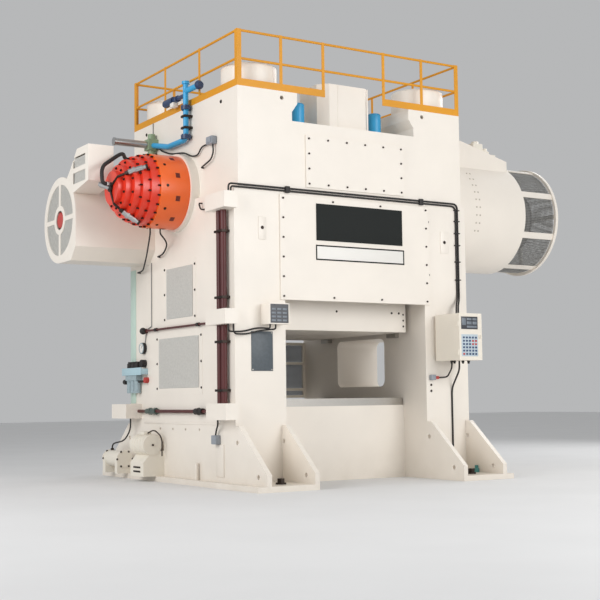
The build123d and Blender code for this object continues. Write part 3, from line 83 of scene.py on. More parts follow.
# Short leads of the wiring, in millimetres
lead_routes = (
    # Indicator panel to the middle corner box
    ((-1640, -2080, 2490), (-1640, -2080, 2415), (-1854, -1990, 2400), (-2096, -1990, 2337),
     (-2330, -1990, 2337), (-2330, -1990, 2490)),
    ((-1740, -2080, 2490), (-1740, -2080, 2425), (-1900, -1955, 2440), (-2150, -1955, 2375),
     (-2400, -1955, 2375), (-2400, -1955, 2490)),
    # Socket on the crown's side to the brake valve, and into the crown
    ((-2230, -1060, 5440), (-2230, -780, 5430), (-2230, -660, 5320), (-2230, -450, 5330),
     (-2230, -150, 5450), (-2230, 80, 5480), (-2230, 371, 5520), (-2230, 700, 5630),
     (-2230, 820, 5702), (-2230, 905, 5702)),
    ((-2245, -1200, 5400), (-2245, -1224, 5274), (-2245, -1141, 5164), (-2245, -800, 5085),
     (-2195, -800, 5085)),
    # Side plate to the top corner box
    ((-2270, -875, 4490), (-2330, -875, 4490), (-2330, -930, 4380), (-2330, -1200, 4345),
     (-2330, -1405, 4345)),
    # Brake's underside to the side plate
    ((-2780, 0, 4168), (-2780, 0, 4070), (-2560, 620, 3780), (-2340, 1250, 3600),
     (-2330, 1500, 3590), (-2270, 1500, 3590)),
    ((-2600, 0, 4168), (-2600, 0, 4090), (-2420, 150, 3990), (-2320, 330, 3930),
     (-2320, 480, 3810), (-2320, 700, 3790), (-2270, 700, 3790)),
    # Rear corner box to the lubrication pump, and low corner box to its socket
    ((-2400, 1650, 1040), (-2400, 1650, 850), (-2430, 1830, 650), (-2490, 2150, 600),
     (-2490, 2240, 560), (-2490, 2240, 475)),
    ((-2380, -1560, 1040), (-2380, -1560, 960), (-2320, -1400, 880), (-2320, -1373, 800)),
    # Control box to the socket on the right upright
    ((1700, -2200, 1945), (1700, -2200, 1830), (1760, -2000, 1680), (1640, -1960, 1672),
     (1540, -1960, 1672)),
)
millimetres_in_metre = 1000


def add_camera():
    """Camera that stands and looks as the photograph's did."""
    forward = Vector((
        math.sin(camera_yaw) * math.cos(camera_pitch),
        math.cos(camera_yaw) * math.cos(camera_pitch),
        math.sin(camera_pitch),
    ))
    right = Vector((math.cos(camera_yaw), -math.sin(camera_yaw), 0))
    up = right.cross(forward)
    cos_roll = math.cos(camera_roll)
    sin_roll = math.sin(camera_roll)
    right_rolled = cos_roll * right + sin_roll * up
    up_rolled = -sin_roll * right + cos_roll * up
    data = bpy.data.cameras.new("camera")
    data.lens = camera_lens
    data.sensor_width = sensor_width
    data.clip_end = camera_reach
    camera = bpy.data.objects.new("camera", data)
    axes = Matrix((right_rolled, up_rolled, -forward)).transposed()
    camera.matrix_world = Matrix.Translation(camera_place) @ axes.to_4x4()
    scene.collection.objects.link(camera)
    scene.camera = camera


def srgb(red, green, blue):
    """Colour from 0 to 255 values as seen on screen."""
    linear = []
    for value in (red, green, blue):
        share = value / 255
        linear.append(share / 12.92 if share <= 0.04045 else ((share + 0.055) / 1.055) ** 2.4)
    return (*linear, 1)


def shade(colour, factor):
    """Darker tone of a colour."""
    return (colour[0] * factor, colour[1] * factor, colour[2] * factor, 1)


def new_material(name):
    """Material with its node tree and its shader."""
    material = bpy.data.materials.new(name)
    material.use_nodes = True
    shader = material.node_tree.nodes["Principled BSDF"]
    return material, material.node_tree, shader


def link(tree, source, output, target, field):
    """Wire from one node's output to another node's field."""
    tree.links.new(source.outputs[output], target.inputs[field])


def noise_node(tree, scale, detail, stretch=(1, 1, 1)):
    """Noise in object space, with its axes stretched."""
    place = tree.nodes.new("ShaderNodeTexCoord")
    mapping = tree.nodes.new("ShaderNodeMapping")
    mapping.inputs["Scale"].default_value = stretch
    noise = tree.nodes.new("ShaderNodeTexNoise")
    noise.inputs["Scale"].default_value = scale
    noise.inputs["Detail"].default_value = detail
    link(tree, place, "Object", mapping, "Vector")
    link(tree, mapping, "Vector", noise, "Vector")
    return noise


def range_node(tree, source, output, low, high, start=0.0, end=1.0):
    """Values from low to high, as the source runs from start to end."""
    values = tree.nodes.new("ShaderNodeMapRange")
    values.inputs["From Min"].default_value = start
    values.inputs["From Max"].default_value = end
    values.inputs["To Min"].default_value = low
    values.inputs["To Max"].default_value = high
    link(tree, source, output, values, "Value")
    return values


def place_node(tree):
    """The three coordinates of a place on the object."""
    place = tree.nodes.new("ShaderNodeTexCoord")
    split = tree.nodes.new("ShaderNodeSeparateXYZ")
    link(tree, place, "Object", split, "Vector")
    return split


def add_tint(tree, shader, noise, colour, tone, low, high):
    """Base colour that drifts with a noise, between a darker tone and the colour itself."""
    ramp = tree.nodes.new("ShaderNodeValToRGB")
    ramp.color_ramp.elements[0].position = low
    ramp.color_ramp.elements[0].color = shade(colour, tone)
    ramp.color_ramp.elements[1].position = high
    ramp.color_ramp.elements[1].color = colour
    link(tree, noise, "Fac", ramp, "Fac")
    link(tree, ramp, "Color", shader, "Base Color")


def add_bump(tree, shader, noise, strength, distance):
    """Fine relief that follows a noise."""
    bump = tree.nodes.new("ShaderNodeBump")
    bump.inputs["Strength"].default_value = strength
    bump.inputs["Distance"].default_value = distance
    link(tree, noise, "Fac", bump, "Height")
    link(tree, bump, "Normal", shader, "Normal")


def add_roughness(tree, shader, noise, low, high):
    """Roughness that follows a noise."""
    spread = range_node(tree, noise, "Fac", low, high)
    link(tree, spread, "Result", shader, "Roughness")


def lay_over(material, amount, output, colour):
    """Second colour over a paint, by the amount that a node gives."""
    tree = material.node_tree
    shader = tree.nodes["Principled BSDF"]
    tint = shader.inputs["Base Color"].links[0].from_node
    mix = tree.nodes.new("ShaderNodeMix")
    mix.data_type = "RGBA"
    mix.inputs[mix_second].default_value = colour
    link(tree, amount, output, mix, mix_factor)
    link(tree, tint, "Color", mix, mix_first)
    link(tree, mix, mix_result, shader, "Base Color")


def enamel(name, colour, roughness, tone, coat):
    """Sprayed paint: slow drift of tone, faint orange peel and uneven gloss."""
    material, tree, shader = new_material(name)
    drift = noise_node(tree, scale=1.3, detail=4.0)
    add_tint(tree, shader, drift, colour, tone, low=0.3, high=0.7)
    gloss = noise_node(tree, scale=6.0, detail=2.0)
    add_roughness(tree, shader, gloss, low=roughness - 0.06, high=roughness + 0.08)
    shader.inputs["Coat Weight"].default_value = coat
    shader.inputs["Coat Roughness"].default_value = 0.25
    peel = noise_node(tree, scale=90.0, detail=2.0)
    add_bump(tree, shader, peel, strength=0.05, distance=0.004)
    return material


def frame_enamel(name, colour, dust):
    """Cream frame paint that gathers a little dust towards the floor."""
    dust_top = 0.7
    dust_share = 0.5
    material = enamel(name, colour, roughness=0.42, tone=0.95, coat=0.15)
    tree = material.node_tree
    height = range_node(tree, place_node(tree), "Z", low=dust_share, high=0.0, end=dust_top)
    patches = noise_node(tree, scale=3.0, detail=5.0)
    amount = tree.nodes.new("ShaderNodeMath")
    amount.operation = "MULTIPLY"
    link(tree, height, "Result", amount, 0)
    link(tree, patches, "Fac", amount, 1)
    lay_over(material, amount, "Value", dust)
    return material


def brake_enamel_shaded_face(name, drum, face):
    """Orange drum whose stepped face is a deeper red: painted shade on the face that looks left."""
    blend = 0.02
    material = enamel(name, drum, roughness=0.34, tone=0.88, coat=0.35)
    tree = material.node_tree
    place = place_node(tree)
    # Mask of the stepped face past the drum's end, where the deeper red is laid on as painted shade
    edge = range_node(tree, place, "X", low=1.0, high=0.0, start=drum_end - blend, end=drum_end)
    lay_over(material, edge, "Result", face)
    return material


def metal(name, colour, roughness, stretch):
    """Machined metal with fine tool marks along one direction."""
    material, tree, shader = new_material(name)
    shader.inputs["Metallic"].default_value = 1.0
    marks = noise_node(tree, scale=40.0, detail=4.0, stretch=stretch)
    add_tint(tree, shader, marks, colour, tone=0.75, low=0.3, high=0.7)
    add_roughness(tree, shader, marks, low=roughness - 0.08, high=roughness + 0.1)
    add_bump(tree, shader, marks, strength=0.08, distance=0.003)
    return material


def dull(name, colour, roughness, tone, scale=25.0):
    """Rubber, plastic and cast surfaces: matt, with fine mottling."""
    grain_ratio = 8
    material, tree, shader = new_material(name)
    mottle = noise_node(tree, scale, detail=5.0)
    add_tint(tree, shader, mottle, colour, tone, low=0.35, high=0.65)
    shader.inputs["Roughness"].default_value = roughness
    grain = noise_node(tree, scale * grain_ratio, detail=3.0)
    add_bump(tree, shader, grain, strength=0.1, distance=0.002)
    return material


# Paints: name, colour as seen on screen, roughness, tone and coat
paints = (
    ("yellow_paint", (224, 152, 10), 0.5, 0.9, 0.05),
    ("red_paint", (196, 44, 32), 0.36, 0.85, 0.3),
    ("red_brown_paint", (84, 26, 26), 0.45, 0.8, 0.1),
    ("blue_paint", (52, 166, 220), 0.4, 0.9, 0.15),
    ("green_paint", (150, 172, 138), 0.5, 0.8, 0.1),
    ("grey_paint", (238, 231, 217), 0.45, 0.92, 0.15),
    ("box_paint", (236, 228, 214), 0.48, 0.95, 0.15),
    ("plate_white", (235, 232, 226), 0.5, 0.97, 0.05),
    ("strip_green", (196, 218, 206), 0.4, 0.93, 0.15),
    ("coupling_green", (74, 90, 84), 0.45, 0.85, 0.15),
    ("dark_blue", (44, 66, 104), 0.4, 0.8, 0.15),
    ("pale_blue", (176, 206, 216), 0.4, 0.93, 0.15),
    ("teal", (64, 134, 128), 0.45, 0.85, 0.15),
)

# Metals: name, colour as seen on screen, roughness and stretch of the tool marks
metals = (
    ("machined_steel", (190, 186, 180), 0.35, (1, 1, 12)),
    ("dark_steel", (70, 62, 58), 0.5, (1, 1, 1)),
    ("bronze", (186, 150, 92), 0.35, (1, 1, 12)),
    ("silver", (200, 200, 200), 0.32, (12, 1, 1)),
)

# Dull surfaces: name, colour as seen on screen, roughness and tone
dull_surfaces = (
    ("mesh_grey", (178, 178, 174), 0.5, 0.88),
    ("cast_iron", (120, 118, 114), 0.6, 0.75),
    ("black_rubber", (38, 34, 33), 0.6, 0.7),
    # Dark red of the brake drum's pockets is painted shade, standing for their hollows
    ("pocket_red", (112, 36, 22), 0.6, 0.7),
    ("plate_black", (14, 20, 18), 0.8, 0.85),
    ("plate_grey", (84, 92, 98), 0.45, 0.85),
    ("display_dark", (58, 60, 66), 0.3, 0.85),
    ("display_light", (120, 128, 136), 0.35, 0.9),
    ("key_plate", (190, 204, 212), 0.5, 0.92),
    ("key_blue", (52, 76, 112), 0.45, 0.85),
    ("key_red", (190, 60, 54), 0.45, 0.85),
    ("wire_light", (214, 212, 206), 0.5, 0.9),
    ("wire_grey", (150, 149, 146), 0.5, 0.88),
    ("wire_dark", (92, 94, 96), 0.5, 0.88),
    ("socket_grey", (150, 156, 164), 0.45, 0.88),
    ("head_grey", (196, 186, 172), 0.6, 0.9),
    ("service_plastic", (160, 178, 184), 0.4, 0.85),
)


def make_materials():
    """Every material by its name."""
    made = {
        "cream_paint": frame_enamel("cream_paint", srgb(240, 232, 221), srgb(190, 178, 160)),
        # The brake paint's second colour is painted shade on the drum's stepped face
        "orange_paint": brake_enamel_shaded_face("orange_paint", srgb(248, 106, 30), srgb(222, 54, 30)),
    }
    for maker, table in ((enamel, paints), (metal, metals), (dull, dull_surfaces)):
        for name, colour, *looks in table:
            made[name] = maker(name, srgb(*colour), *looks)
    return made


materials = make_materials()


def paint(piece, material):
    """One material on a whole piece."""
    piece.data.materials.clear()
    piece.data.materials.append(material)


def paint_nodes():
    """Materials of the model's own nodes, by the record's slots, but for two."""
    for entry in frame["record"]["subparts"]:
        paint(nodes[entry["node"]], materials[entry["material_slot"]])
    paint(nodes["pipe_clamps"], materials["dark_steel"])
    paint(nodes["control_box_hinges"], materials["box_paint"])


def turns(count, shift=0.0):
    """Angles of even steps round a circle."""
    return [2 * math.pi * (number + shift) / count for number in range(count)]


def round_shaft(turn, radius, x):
    """Point at an angle and a distance from the main shaft's axis."""
    return Vector((x, radius * math.cos(turn), shaft_z + radius * math.sin(turn)))


class Form:
    """Mesh built up from plain solids and placed as one piece."""

    def __init__(self):
        self.mesh = bmesh.new()

    def box(self, low, high, bevel=0):
        """Box between two corners, with rounded edges where a bevel is given."""
        low = Vector(low)
        high = Vector(high)
        mesh = self.mesh
        corners = bmesh.ops.create_cube(mesh, size=1)["verts"]
        bmesh.ops.scale(mesh, vec=high - low, verts=corners)
        bmesh.ops.translate(mesh, vec=(low + high) / 2, verts=corners)
        if bevel:
            edges = list({edge for corner in corners for edge in corner.link_edges})
            bmesh.ops.bevel(mesh, geom=edges, offset=bevel, segments=2, profile=0.5, affect="EDGES")
        return corners

    def box_round_shaft(self, low, high, turn):
        """Plain box turned about the main shaft's axis."""
        corners = self.box(low, high)
        turned = Matrix.Rotation(turn, 3, "X")
        bmesh.ops.rotate(self.mesh, cent=(0, 0, shaft_z), matrix=turned, verts=corners)

    def on_front(self, face, x_range, z_range, depth, bevel=0):
        """Plate on a face that looks forwards."""
        low = (x_range[0], face - depth, z_range[0])
        self.box(low, (x_range[1], face, z_range[1]), bevel)

    def on_side(self, face, y_range, z_range, depth, bevel=0):
        """Plate on a face that looks left."""
        low = (face - depth, y_range[0], z_range[0])
        self.box(low, (face, y_range[1], z_range[1]), bevel)

    def rod(self, start, end, radius, sides=20, tip=None):
        """Rod between two points, tapered where the radius of a tip is given."""
        start = Vector(start)
        end = Vector(end)
        turn = (end - start).to_track_quat("Z", "Y").to_matrix().to_4x4()
        bmesh.ops.create_cone(
            self.mesh,
            cap_ends=True,
            segments=sides,
            radius1=radius,
            radius2=radius if tip is None else tip,
            depth=(end - start).length,
            matrix=Matrix.Translation((start + end) / 2) @ turn,
        )

    def rod_x(self, x_range, y, z, radius, sides=20, tip=None):
        """Rod along X."""
        self.rod((x_range[0], y, z), (x_range[1], y, z), radius, sides, tip)

    def rod_y(self, x, y_range, z, radius, sides=20):
        """Rod along Y."""
        self.rod((x, y_range[0], z), (x, y_range[1], z), radius, sides)

    def rod_z(self, x, y, z_range, radius, sides=20):
        """Upright rod."""
        self.rod((x, y, z_range[0]), (x, y, z_range[1]), radius, sides)

    def ball(self, centre, radius):
        """Round knob."""
        place = Matrix.Translation(Vector(centre))
        bmesh.ops.create_uvsphere(self.mesh, u_segments=16, v_segments=10, radius=radius, matrix=place)

    def bolt(self, place, along, radius, height):
        """Hexagon head on a washer."""
        washer_share = 0.3
        washer_ratio = 1.5
        place = Vector(place)
        seat = place + along * height * washer_share
        self.rod(place, seat, radius * washer_ratio, sides=16)
        self.rod(seat, place + along * height, radius, sides=6)

    def skin(self, rows):
        """Faces between neighbouring rows of points, each row a closed ring."""
        sides = len(rows[0])
        for here, there in zip(rows, rows[1:]):
            for corner in range(sides):
                other = (corner + 1) % sides
                self.mesh.faces.new((here[corner], here[other], there[other], there[corner]))

    def close_ends(self, rows):
        """Faces over the first and the last row of points."""
        self.mesh.faces.new(rows[0])
        self.mesh.faces.new(rows[-1])

    def hoop(self, x, y, z, radius, width, steps):
        """Square-section ring round the X axis."""
        rows = []
        for turn in turns(steps):
            row = []
            for dx, dr in ((-1, -1), (1, -1), (1, 1), (-1, 1)):
                reach = radius + dr * width / 2
                place = (x + dx * width / 2, y + reach * math.cos(turn), z + reach * math.sin(turn))
                row.append(self.mesh.verts.new(place))
            rows.append(row)
        self.skin(rows + rows[:1])

    def tube(self, points, radius, sides=16):
        """Round tube along a line of points."""
        rows = []
        across = None
        for number, point in enumerate(points):
            before = points[max(number - 1, 0)]
            after = points[min(number + 1, len(points) - 1)]
            along = (after - before).normalized()
            if across is None:
                across = along.orthogonal().normalized()
            across = (across - along * across.dot(along)).normalized()
            other = along.cross(across)
            row = []
            for turn in turns(sides):
                offset = across * math.cos(turn) + other * math.sin(turn)
                row.append(self.mesh.verts.new(point + offset * radius))
            rows.append(row)
        self.skin(rows)
        self.close_ends(rows)

    def place(self, name, slot, material=None, body="frame"):
        """Piece made from the mesh, in its slot's material if no other is given."""
        sharp_angle = 0.6
        open_edge_angle = 3.0
        bmesh.ops.recalc_face_normals(self.mesh, faces=self.mesh.faces)
        for face in self.mesh.faces:
            face.smooth = True
        for edge in self.mesh.edges:
            edge.smooth = edge.calc_face_angle(open_edge_angle) < sharp_angle
        data = bpy.data.meshes.new(name)
        self.mesh.to_mesh(data)
        self.mesh.free()
        piece = bpy.data.objects.new(name, data)
        scene.collection.objects.link(piece)
        paint(piece, materials[material or slot])
        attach(piece, body)
        return piece


def span_pieces(offset, outer, inner):
    """Parts of a chord at an offset from the centre that lie between two circles."""
    if abs(offset) >= outer:
        return []
    reach = math.sqrt(outer ** 2 - offset ** 2)
    if abs(offset) >= inner:
        return [(-reach, reach)]
    gap = math.sqrt(inner ** 2 - offset ** 2)
    return [(-reach, -gap), (gap, reach)]


def wire_disc(form, x, y, z, outer, inner, pitch, width):
    """Flat woven mesh across X, between two circles."""
    count = int(outer / pitch)
    half = width / 2
    for number in range(-count, count + 1):
        offset = number * pitch
        for low, high in span_pieces(offset, outer, inner):
            form.box((x, y + offset - half, z + low), (x + width, y + offset + half, z + high))
            form.box((x - width, y + low, z + offset - half), (x, y + high, z + offset + half))


def wire_places(span, pitch):
    """Places of a rectangle's wires, from its low edge up."""
    low, high = span
    return [low + number * pitch for number in range(1, int((high - low) / pitch) + 1)]


def wire_panel_x(form, x, y_range, z_range, pitch, width):
    """Flat woven mesh across X, in a rectangle."""
    half = width / 2
    for y in wire_places(y_range, pitch):
        form.on_side(x + half, (y - half, y + half), z_range, half)
    for z in wire_places(z_range, pitch):
        form.on_side(x, y_range, (z - half, z + half), half)


def wire_panel_y(form, y, x_range, z_range, pitch, width):
    """Flat woven mesh across Y, in a rectangle."""
    half = width / 2
    for x in wire_places(x_range, pitch):
        form.on_front(y + half, (x - half, x + half), z_range, half)
    for z in wire_places(z_range, pitch):
        form.on_front(y, x_range, (z - half, z + half), half)


def add_flywheel_mesh():
    """Woven mesh of the flywheel guard, round the drum and over its end."""
    form = Form()
    radius = 0.99
    drum_x = (4.44, 5.25)
    wire_count = 200
    wire_radius = 0.0045
    for turn in turns(wire_count):
        ends = [round_shaft(turn, radius, x) for x in drum_x]
        form.rod(*ends, wire_radius, sides=4)
    hoop_count = 28
    hoop_pitch = 0.029
    hoop_width = 0.007
    first_hoop = drum_x[0] + 0.015
    hoop_radius = radius - 0.004
    for number in range(hoop_count):
        form.hoop(first_hoop + number * hoop_pitch, 0, shaft_z, hoop_radius, hoop_width, steps=160)
    end_x = 5.258
    wire_disc(form, end_x, 0, shaft_z, radius, 0, pitch=0.03, width=hoop_width)
    piece = form.place("flywheel_mesh", "mesh_grey", "wire_grey")
    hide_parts("flywheel_guard_mesh")


def add_motor_screen():
    """Fine mesh behind the openings of the motor's hood and of its duct."""
    form = Form()
    pitch = 0.02
    width = 0.009
    ring_radius = 0.71
    hub_radius = 0.166
    duct_y = (0.45, 0.99)
    duct_z = (4.95, 5.40)
    wire_disc(form, hood_screen_x, motor_y, motor_z, ring_radius, hub_radius, pitch, width)
    wire_panel_x(form, hood_screen_x, duct_y, duct_z, pitch, width)
    piece = form.place("motor_mesh", "mesh_grey", "wire_light")
    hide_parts("motor_hood_screen")


def add_hood_face():
    """Copy of the hood's face whose spokes stand upright and level, as in the photo."""
    source = nodes["motor_hood_face"]
    spoke_turn = Matrix.Rotation(math.radians(40), 3, "X")
    centre = Vector((0, motor_y, motor_z))
    inside_openings = 0.2
    outside_openings = 0.70
    flat_normal = 0.9
    same_point = 0.00001
    same_level = 0.001
    form = Form()
    mesh = form.mesh
    mesh.from_mesh(source.data)
    mesh.transform(source.matrix_world)
    bmesh.ops.remove_doubles(mesh, verts=mesh.verts, dist=same_point)
    mesh.normal_update()
    flat = [face for face in mesh.faces if abs(face.normal.x) > flat_normal]
    bmesh.ops.delete(mesh, geom=flat, context="FACES")
    for corner in mesh.verts:
        reach = math.hypot(corner.co.y - motor_y, corner.co.z - motor_z)
        if inside_openings < reach < outside_openings:
            corner.co = spoke_turn @ (corner.co - centre) + centre
    levels = sorted(corner.co.x for corner in mesh.verts)
    for level in (levels[0], levels[-1]):
        rim = []
        for edge in mesh.edges:
            on_level = all(abs(corner.co.x - level) < same_level for corner in edge.verts)
            if on_level and len(edge.link_faces) == 1:
                rim.append(edge)
        bmesh.ops.triangle_fill(mesh, use_beauty=True, edges=rim, normal=(1, 0, 0))
    piece = form.place("hood_face", "cream_paint")
    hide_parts("motor_hood_face")


def add_hood_corner():
    """Plate that closes the hood's lower corner beside its round face, and the fan's red disc."""
    form = Form()
    inner = 0.70
    reach = 0.74
    cut = 1.263
    face_x = -3.719
    back_x = -3.706
    steps = 18
    rows = []
    for step in range(steps + 1):
        turn = math.radians(180 + 90 * step / steps)
        across = math.cos(turn)
        rise = math.sin(turn)
        outer = min(reach / max(abs(across), abs(rise)), cut / (abs(across) + abs(rise)))
        row = []
        for radius, x in ((inner, face_x), (inner, back_x), (outer, back_x), (outer, face_x)):
            row.append(form.mesh.verts.new((x, motor_y + radius * across, motor_z + radius * rise)))
        rows.append(row)
    form.skin(rows)
    form.close_ends(rows)
    form.place("hood_corner", "cream_paint")
    disc = Form()
    disc_x = (-3.712, -3.66)
    disc.rod_x(disc_x, motor_y, motor_z, radius=0.13, sides=40, tip=0.155)
    disc.place("fan_disc", "red_paint", body="motor_rotor")


def add_side_screens():
    """Mesh covers of the left side: thin border, mesh and six screws each."""
    form = Form()
    borders = Form()
    bolts = Form()
    edge = 0.11
    border = 0.004
    mesh_x = side - 0.006
    screw_inset = edge * 0.7
    for y_range, z_range in (((-0.53, 0.44), (2.70, 3.545)), ((-0.74, 0.74), (1.545, 2.385))):
        wire_panel_x(form, mesh_x, y_range, z_range, pitch=0.018, width=0.0125)
        y0, y1 = y_range
        z0, z1 = z_range
        outer_z = (z0 - edge, z1 + edge)
        for bar_y, bar_z in (
            ((y0 - edge, y0), outer_z),
            ((y1, y1 + edge), outer_z),
            (y_range, (z0 - edge, z0)),
            (y_range, (z1, z1 + edge)),
        ):
            borders.on_side(side, bar_y, bar_z, border)
        for y in (y0 - screw_inset, y1 + screw_inset):
            for z in (z0, (z0 + z1) / 2, z1):
                bolts.bolt((side - border, y, z), leftwards, radius=0.014, height=0.012)
    piece = form.place("side_mesh", "mesh_grey", "wire_light")
    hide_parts("side_screens")
    borders.place("side_mesh_borders", "cream_paint")
    bolts.place("side_mesh_bolts", "dark_steel")


def add_rear_mesh():
    """Mesh in the six bays of the rear guard."""
    form = Form()
    mesh_y = 1.9
    for x_range in ((-1.32, -0.025), (0.025, 1.32)):
        for z_range in ((1.415, 1.5), (1.55, 2.0), (2.05, 2.374)):
            wire_panel_y(form, mesh_y, x_range, z_range, pitch=0.022, width=0.012)
    form.place("rear_mesh", "mesh_grey", "wire_dark")


def add_plates():
    """Blank name plate, blank framed plate and blank data plate."""
    black = Form()
    name_x = (-0.793, 0.905)
    name_z = (3.855, 4.447)
    black.on_front(cover_front, name_x, name_z, depth=0.008, bevel=0.003)
    black.place("name_plate", "dark_steel", "plate_black")
    white = Form()
    model_x = (-0.805, 0.935)
    model_z = (3.54, 3.784)
    white.on_front(cover_front, model_x, model_z, depth=0.006, bevel=0.002)
    white.place("model_plate", "cream_paint", "plate_white")
    line = Form()
    line_width = 0.022
    line_depth = 0.002
    line_back = cover_front - 0.005
    x0, x1 = model_x
    z0, z1 = model_z
    for bar_x, bar_z in (
        (model_x, (z0, z0 + line_width)),
        (model_x, (z1 - line_width, z1)),
        ((x0, x0 + line_width), model_z),
        ((x1 - line_width, x1), model_z),
    ):
        line.on_front(line_back, bar_x, bar_z, line_depth)
    line.place("model_plate_frame", "dark_steel", "plate_black")
    data = Form()
    data_x = (-1.988, -1.605)
    data_z = (1.778, 2.389)
    data.on_front(front, data_x, data_z, depth=0.006, bevel=0.002)
    data.place("data_plate", "dark_steel", "plate_grey")
    rivets = Form()
    rivet_y = (front - 0.009, front - 0.005)
    for x in (-1.965, -1.628):
        for z in (1.8, 2.367):
            rivets.rod_y(x, rivet_y, z, radius=0.009, sides=12)
    rivets.place("data_plate_rivets", "machined_steel")


def add_indicator_face():
    """Dark face of the indicator with plain windows."""
    panel_front = -2.17
    face_depth = 0.004
    face_front = panel_front - face_depth
    face_x = (-1.793, -1.466)
    face_z = (2.504, 2.796)
    form = Form()
    form.on_front(panel_front, face_x, face_z, face_depth)
    form.place("indicator_face", "dark_steel", "display_dark")
    windows = Form()
    first_x = -1.765
    first_z = 2.53
    pitch_x = 0.098
    pitch_z = 0.058
    width = 0.075
    height = 0.03
    for row in range(4):
        for column in range(3):
            x = first_x + column * pitch_x
            z = first_z + row * pitch_z
            windows.on_front(face_front, (x, x + width), (z, z + height), depth=0.003, bevel=0.001)
    windows.place("indicator_windows", "service_plastic", "display_light")


def add_control_face():
    """Display and keys of the control box, on its door."""
    face_x = (1.583, 1.93)
    display_z = (2.453, 2.66)
    display_depth = 0.006
    display_front = door_front - display_depth
    display = Form()
    display.on_front(door_front, face_x, display_z, display_depth, bevel=0.002)
    display.place("control_display", "dark_steel", "display_dark", body="control_door")
    lights = Form()
    for x, z, width, height in (
        (1.60, 2.52, 0.08, 0.11),
        (1.70, 2.60, 0.10, 0.035),
        (1.82, 2.60, 0.09, 0.035),
        (1.70, 2.53, 0.10, 0.05),
        (1.82, 2.53, 0.09, 0.05),
        (1.70, 2.475, 0.21, 0.035),
    ):
        lights.on_front(display_front, (x, x + width), (z, z + height), depth=0.002, bevel=0.001)
    lights.place("control_display_windows", "service_plastic", "display_light", body="control_door")
    keypad = Form()
    keypad_z = (2.006, 2.368)
    keypad.on_front(door_front, face_x, keypad_z, depth=0.004, bevel=0.002)
    keypad.place("control_keypad", "service_plastic", "key_plate", body="control_door")
    blue = Form()
    red = Form()
    first_x = face_x[0] + 0.028
    first_z = 2.03
    pitch_x = 0.064
    pitch_z = 0.054
    key_width = 0.036
    key_height = 0.03
    key_depth = 0.009
    key_back = door_front - 0.003
    red_keys = ((0, 0), (3, 3), (3, 4), (4, 3), (4, 4))
    for row in range(6):
        for column in range(5):
            x = first_x + column * pitch_x
            z = first_z + row * pitch_z
            keys = red if (row, column) in red_keys else blue
            keys.on_front(key_back, (x, x + key_width), (z, z + key_height), key_depth, bevel=0.003)
    blue.place("control_keys", "service_plastic", "key_blue", body="control_door")
    red.place("control_keys_red", "red_paint", "key_red", body="control_door")
    glands = Form()
    gland_y = -2.32
    nut_z = (1.945, 1.915)
    neck_z = (1.915, 1.895)
    for x in (1.60, 1.66, 1.84, 1.96):
        glands.rod_z(x, gland_y, nut_z, radius=0.024, sides=6)
        glands.rod_z(x, gland_y, neck_z, radius=0.017, sides=16)
    glands.place("control_glands", "black_rubber")


def add_clips():
    """Clips of the front's cables, and unions and couplings of the left side's pipes."""
    form = Form()
    clip_half = 0.04
    clip_z = (4.575, 4.68)
    for x in (-1.32, 1.32):
        form.on_front(front, (x - clip_half, x + clip_half), clip_z, depth=0.045, bevel=0.008)
    strap_x = (2.025, 2.135)
    strap_height = 0.018
    for z in (4.528, 4.338, 4.13, 3.922, 3.638, 3.328):
        form.on_front(front, strap_x, (z, z + strap_height), depth=0.04, bevel=0.003)
    middle_x = -2.31
    middle_z = 2.55
    union_half = 0.04
    for y in (0.789, -0.78):
        form.rod_y(middle_x, (y - union_half, y + union_half), middle_z, radius=0.03)
    knob_place = (-2.345, 1.239, middle_z)
    form.ball(knob_place, radius=0.06)
    low_x = -2.33
    low_z = 1.165
    sleeve_y = (-0.72, -0.98)
    nut_y = (-0.80, -0.86)
    form.rod_y(low_x, sleeve_y, low_z, radius=0.05)
    form.rod_y(low_x, nut_y, low_z, radius=0.06, sides=6)
    form.place("clips", "black_rubber")
    couplings = Form()
    length = 0.09
    for y, radius, sides in ((1.12, 0.045, 20), (1.02, 0.06, 6), (0.92, 0.05, 20), (0.82, 0.06, 6)):
        couplings.rod_y(low_x, (y, y - length), low_z, radius, sides)
    couplings.place("pipe_couplings", "green_paint", "coupling_green")


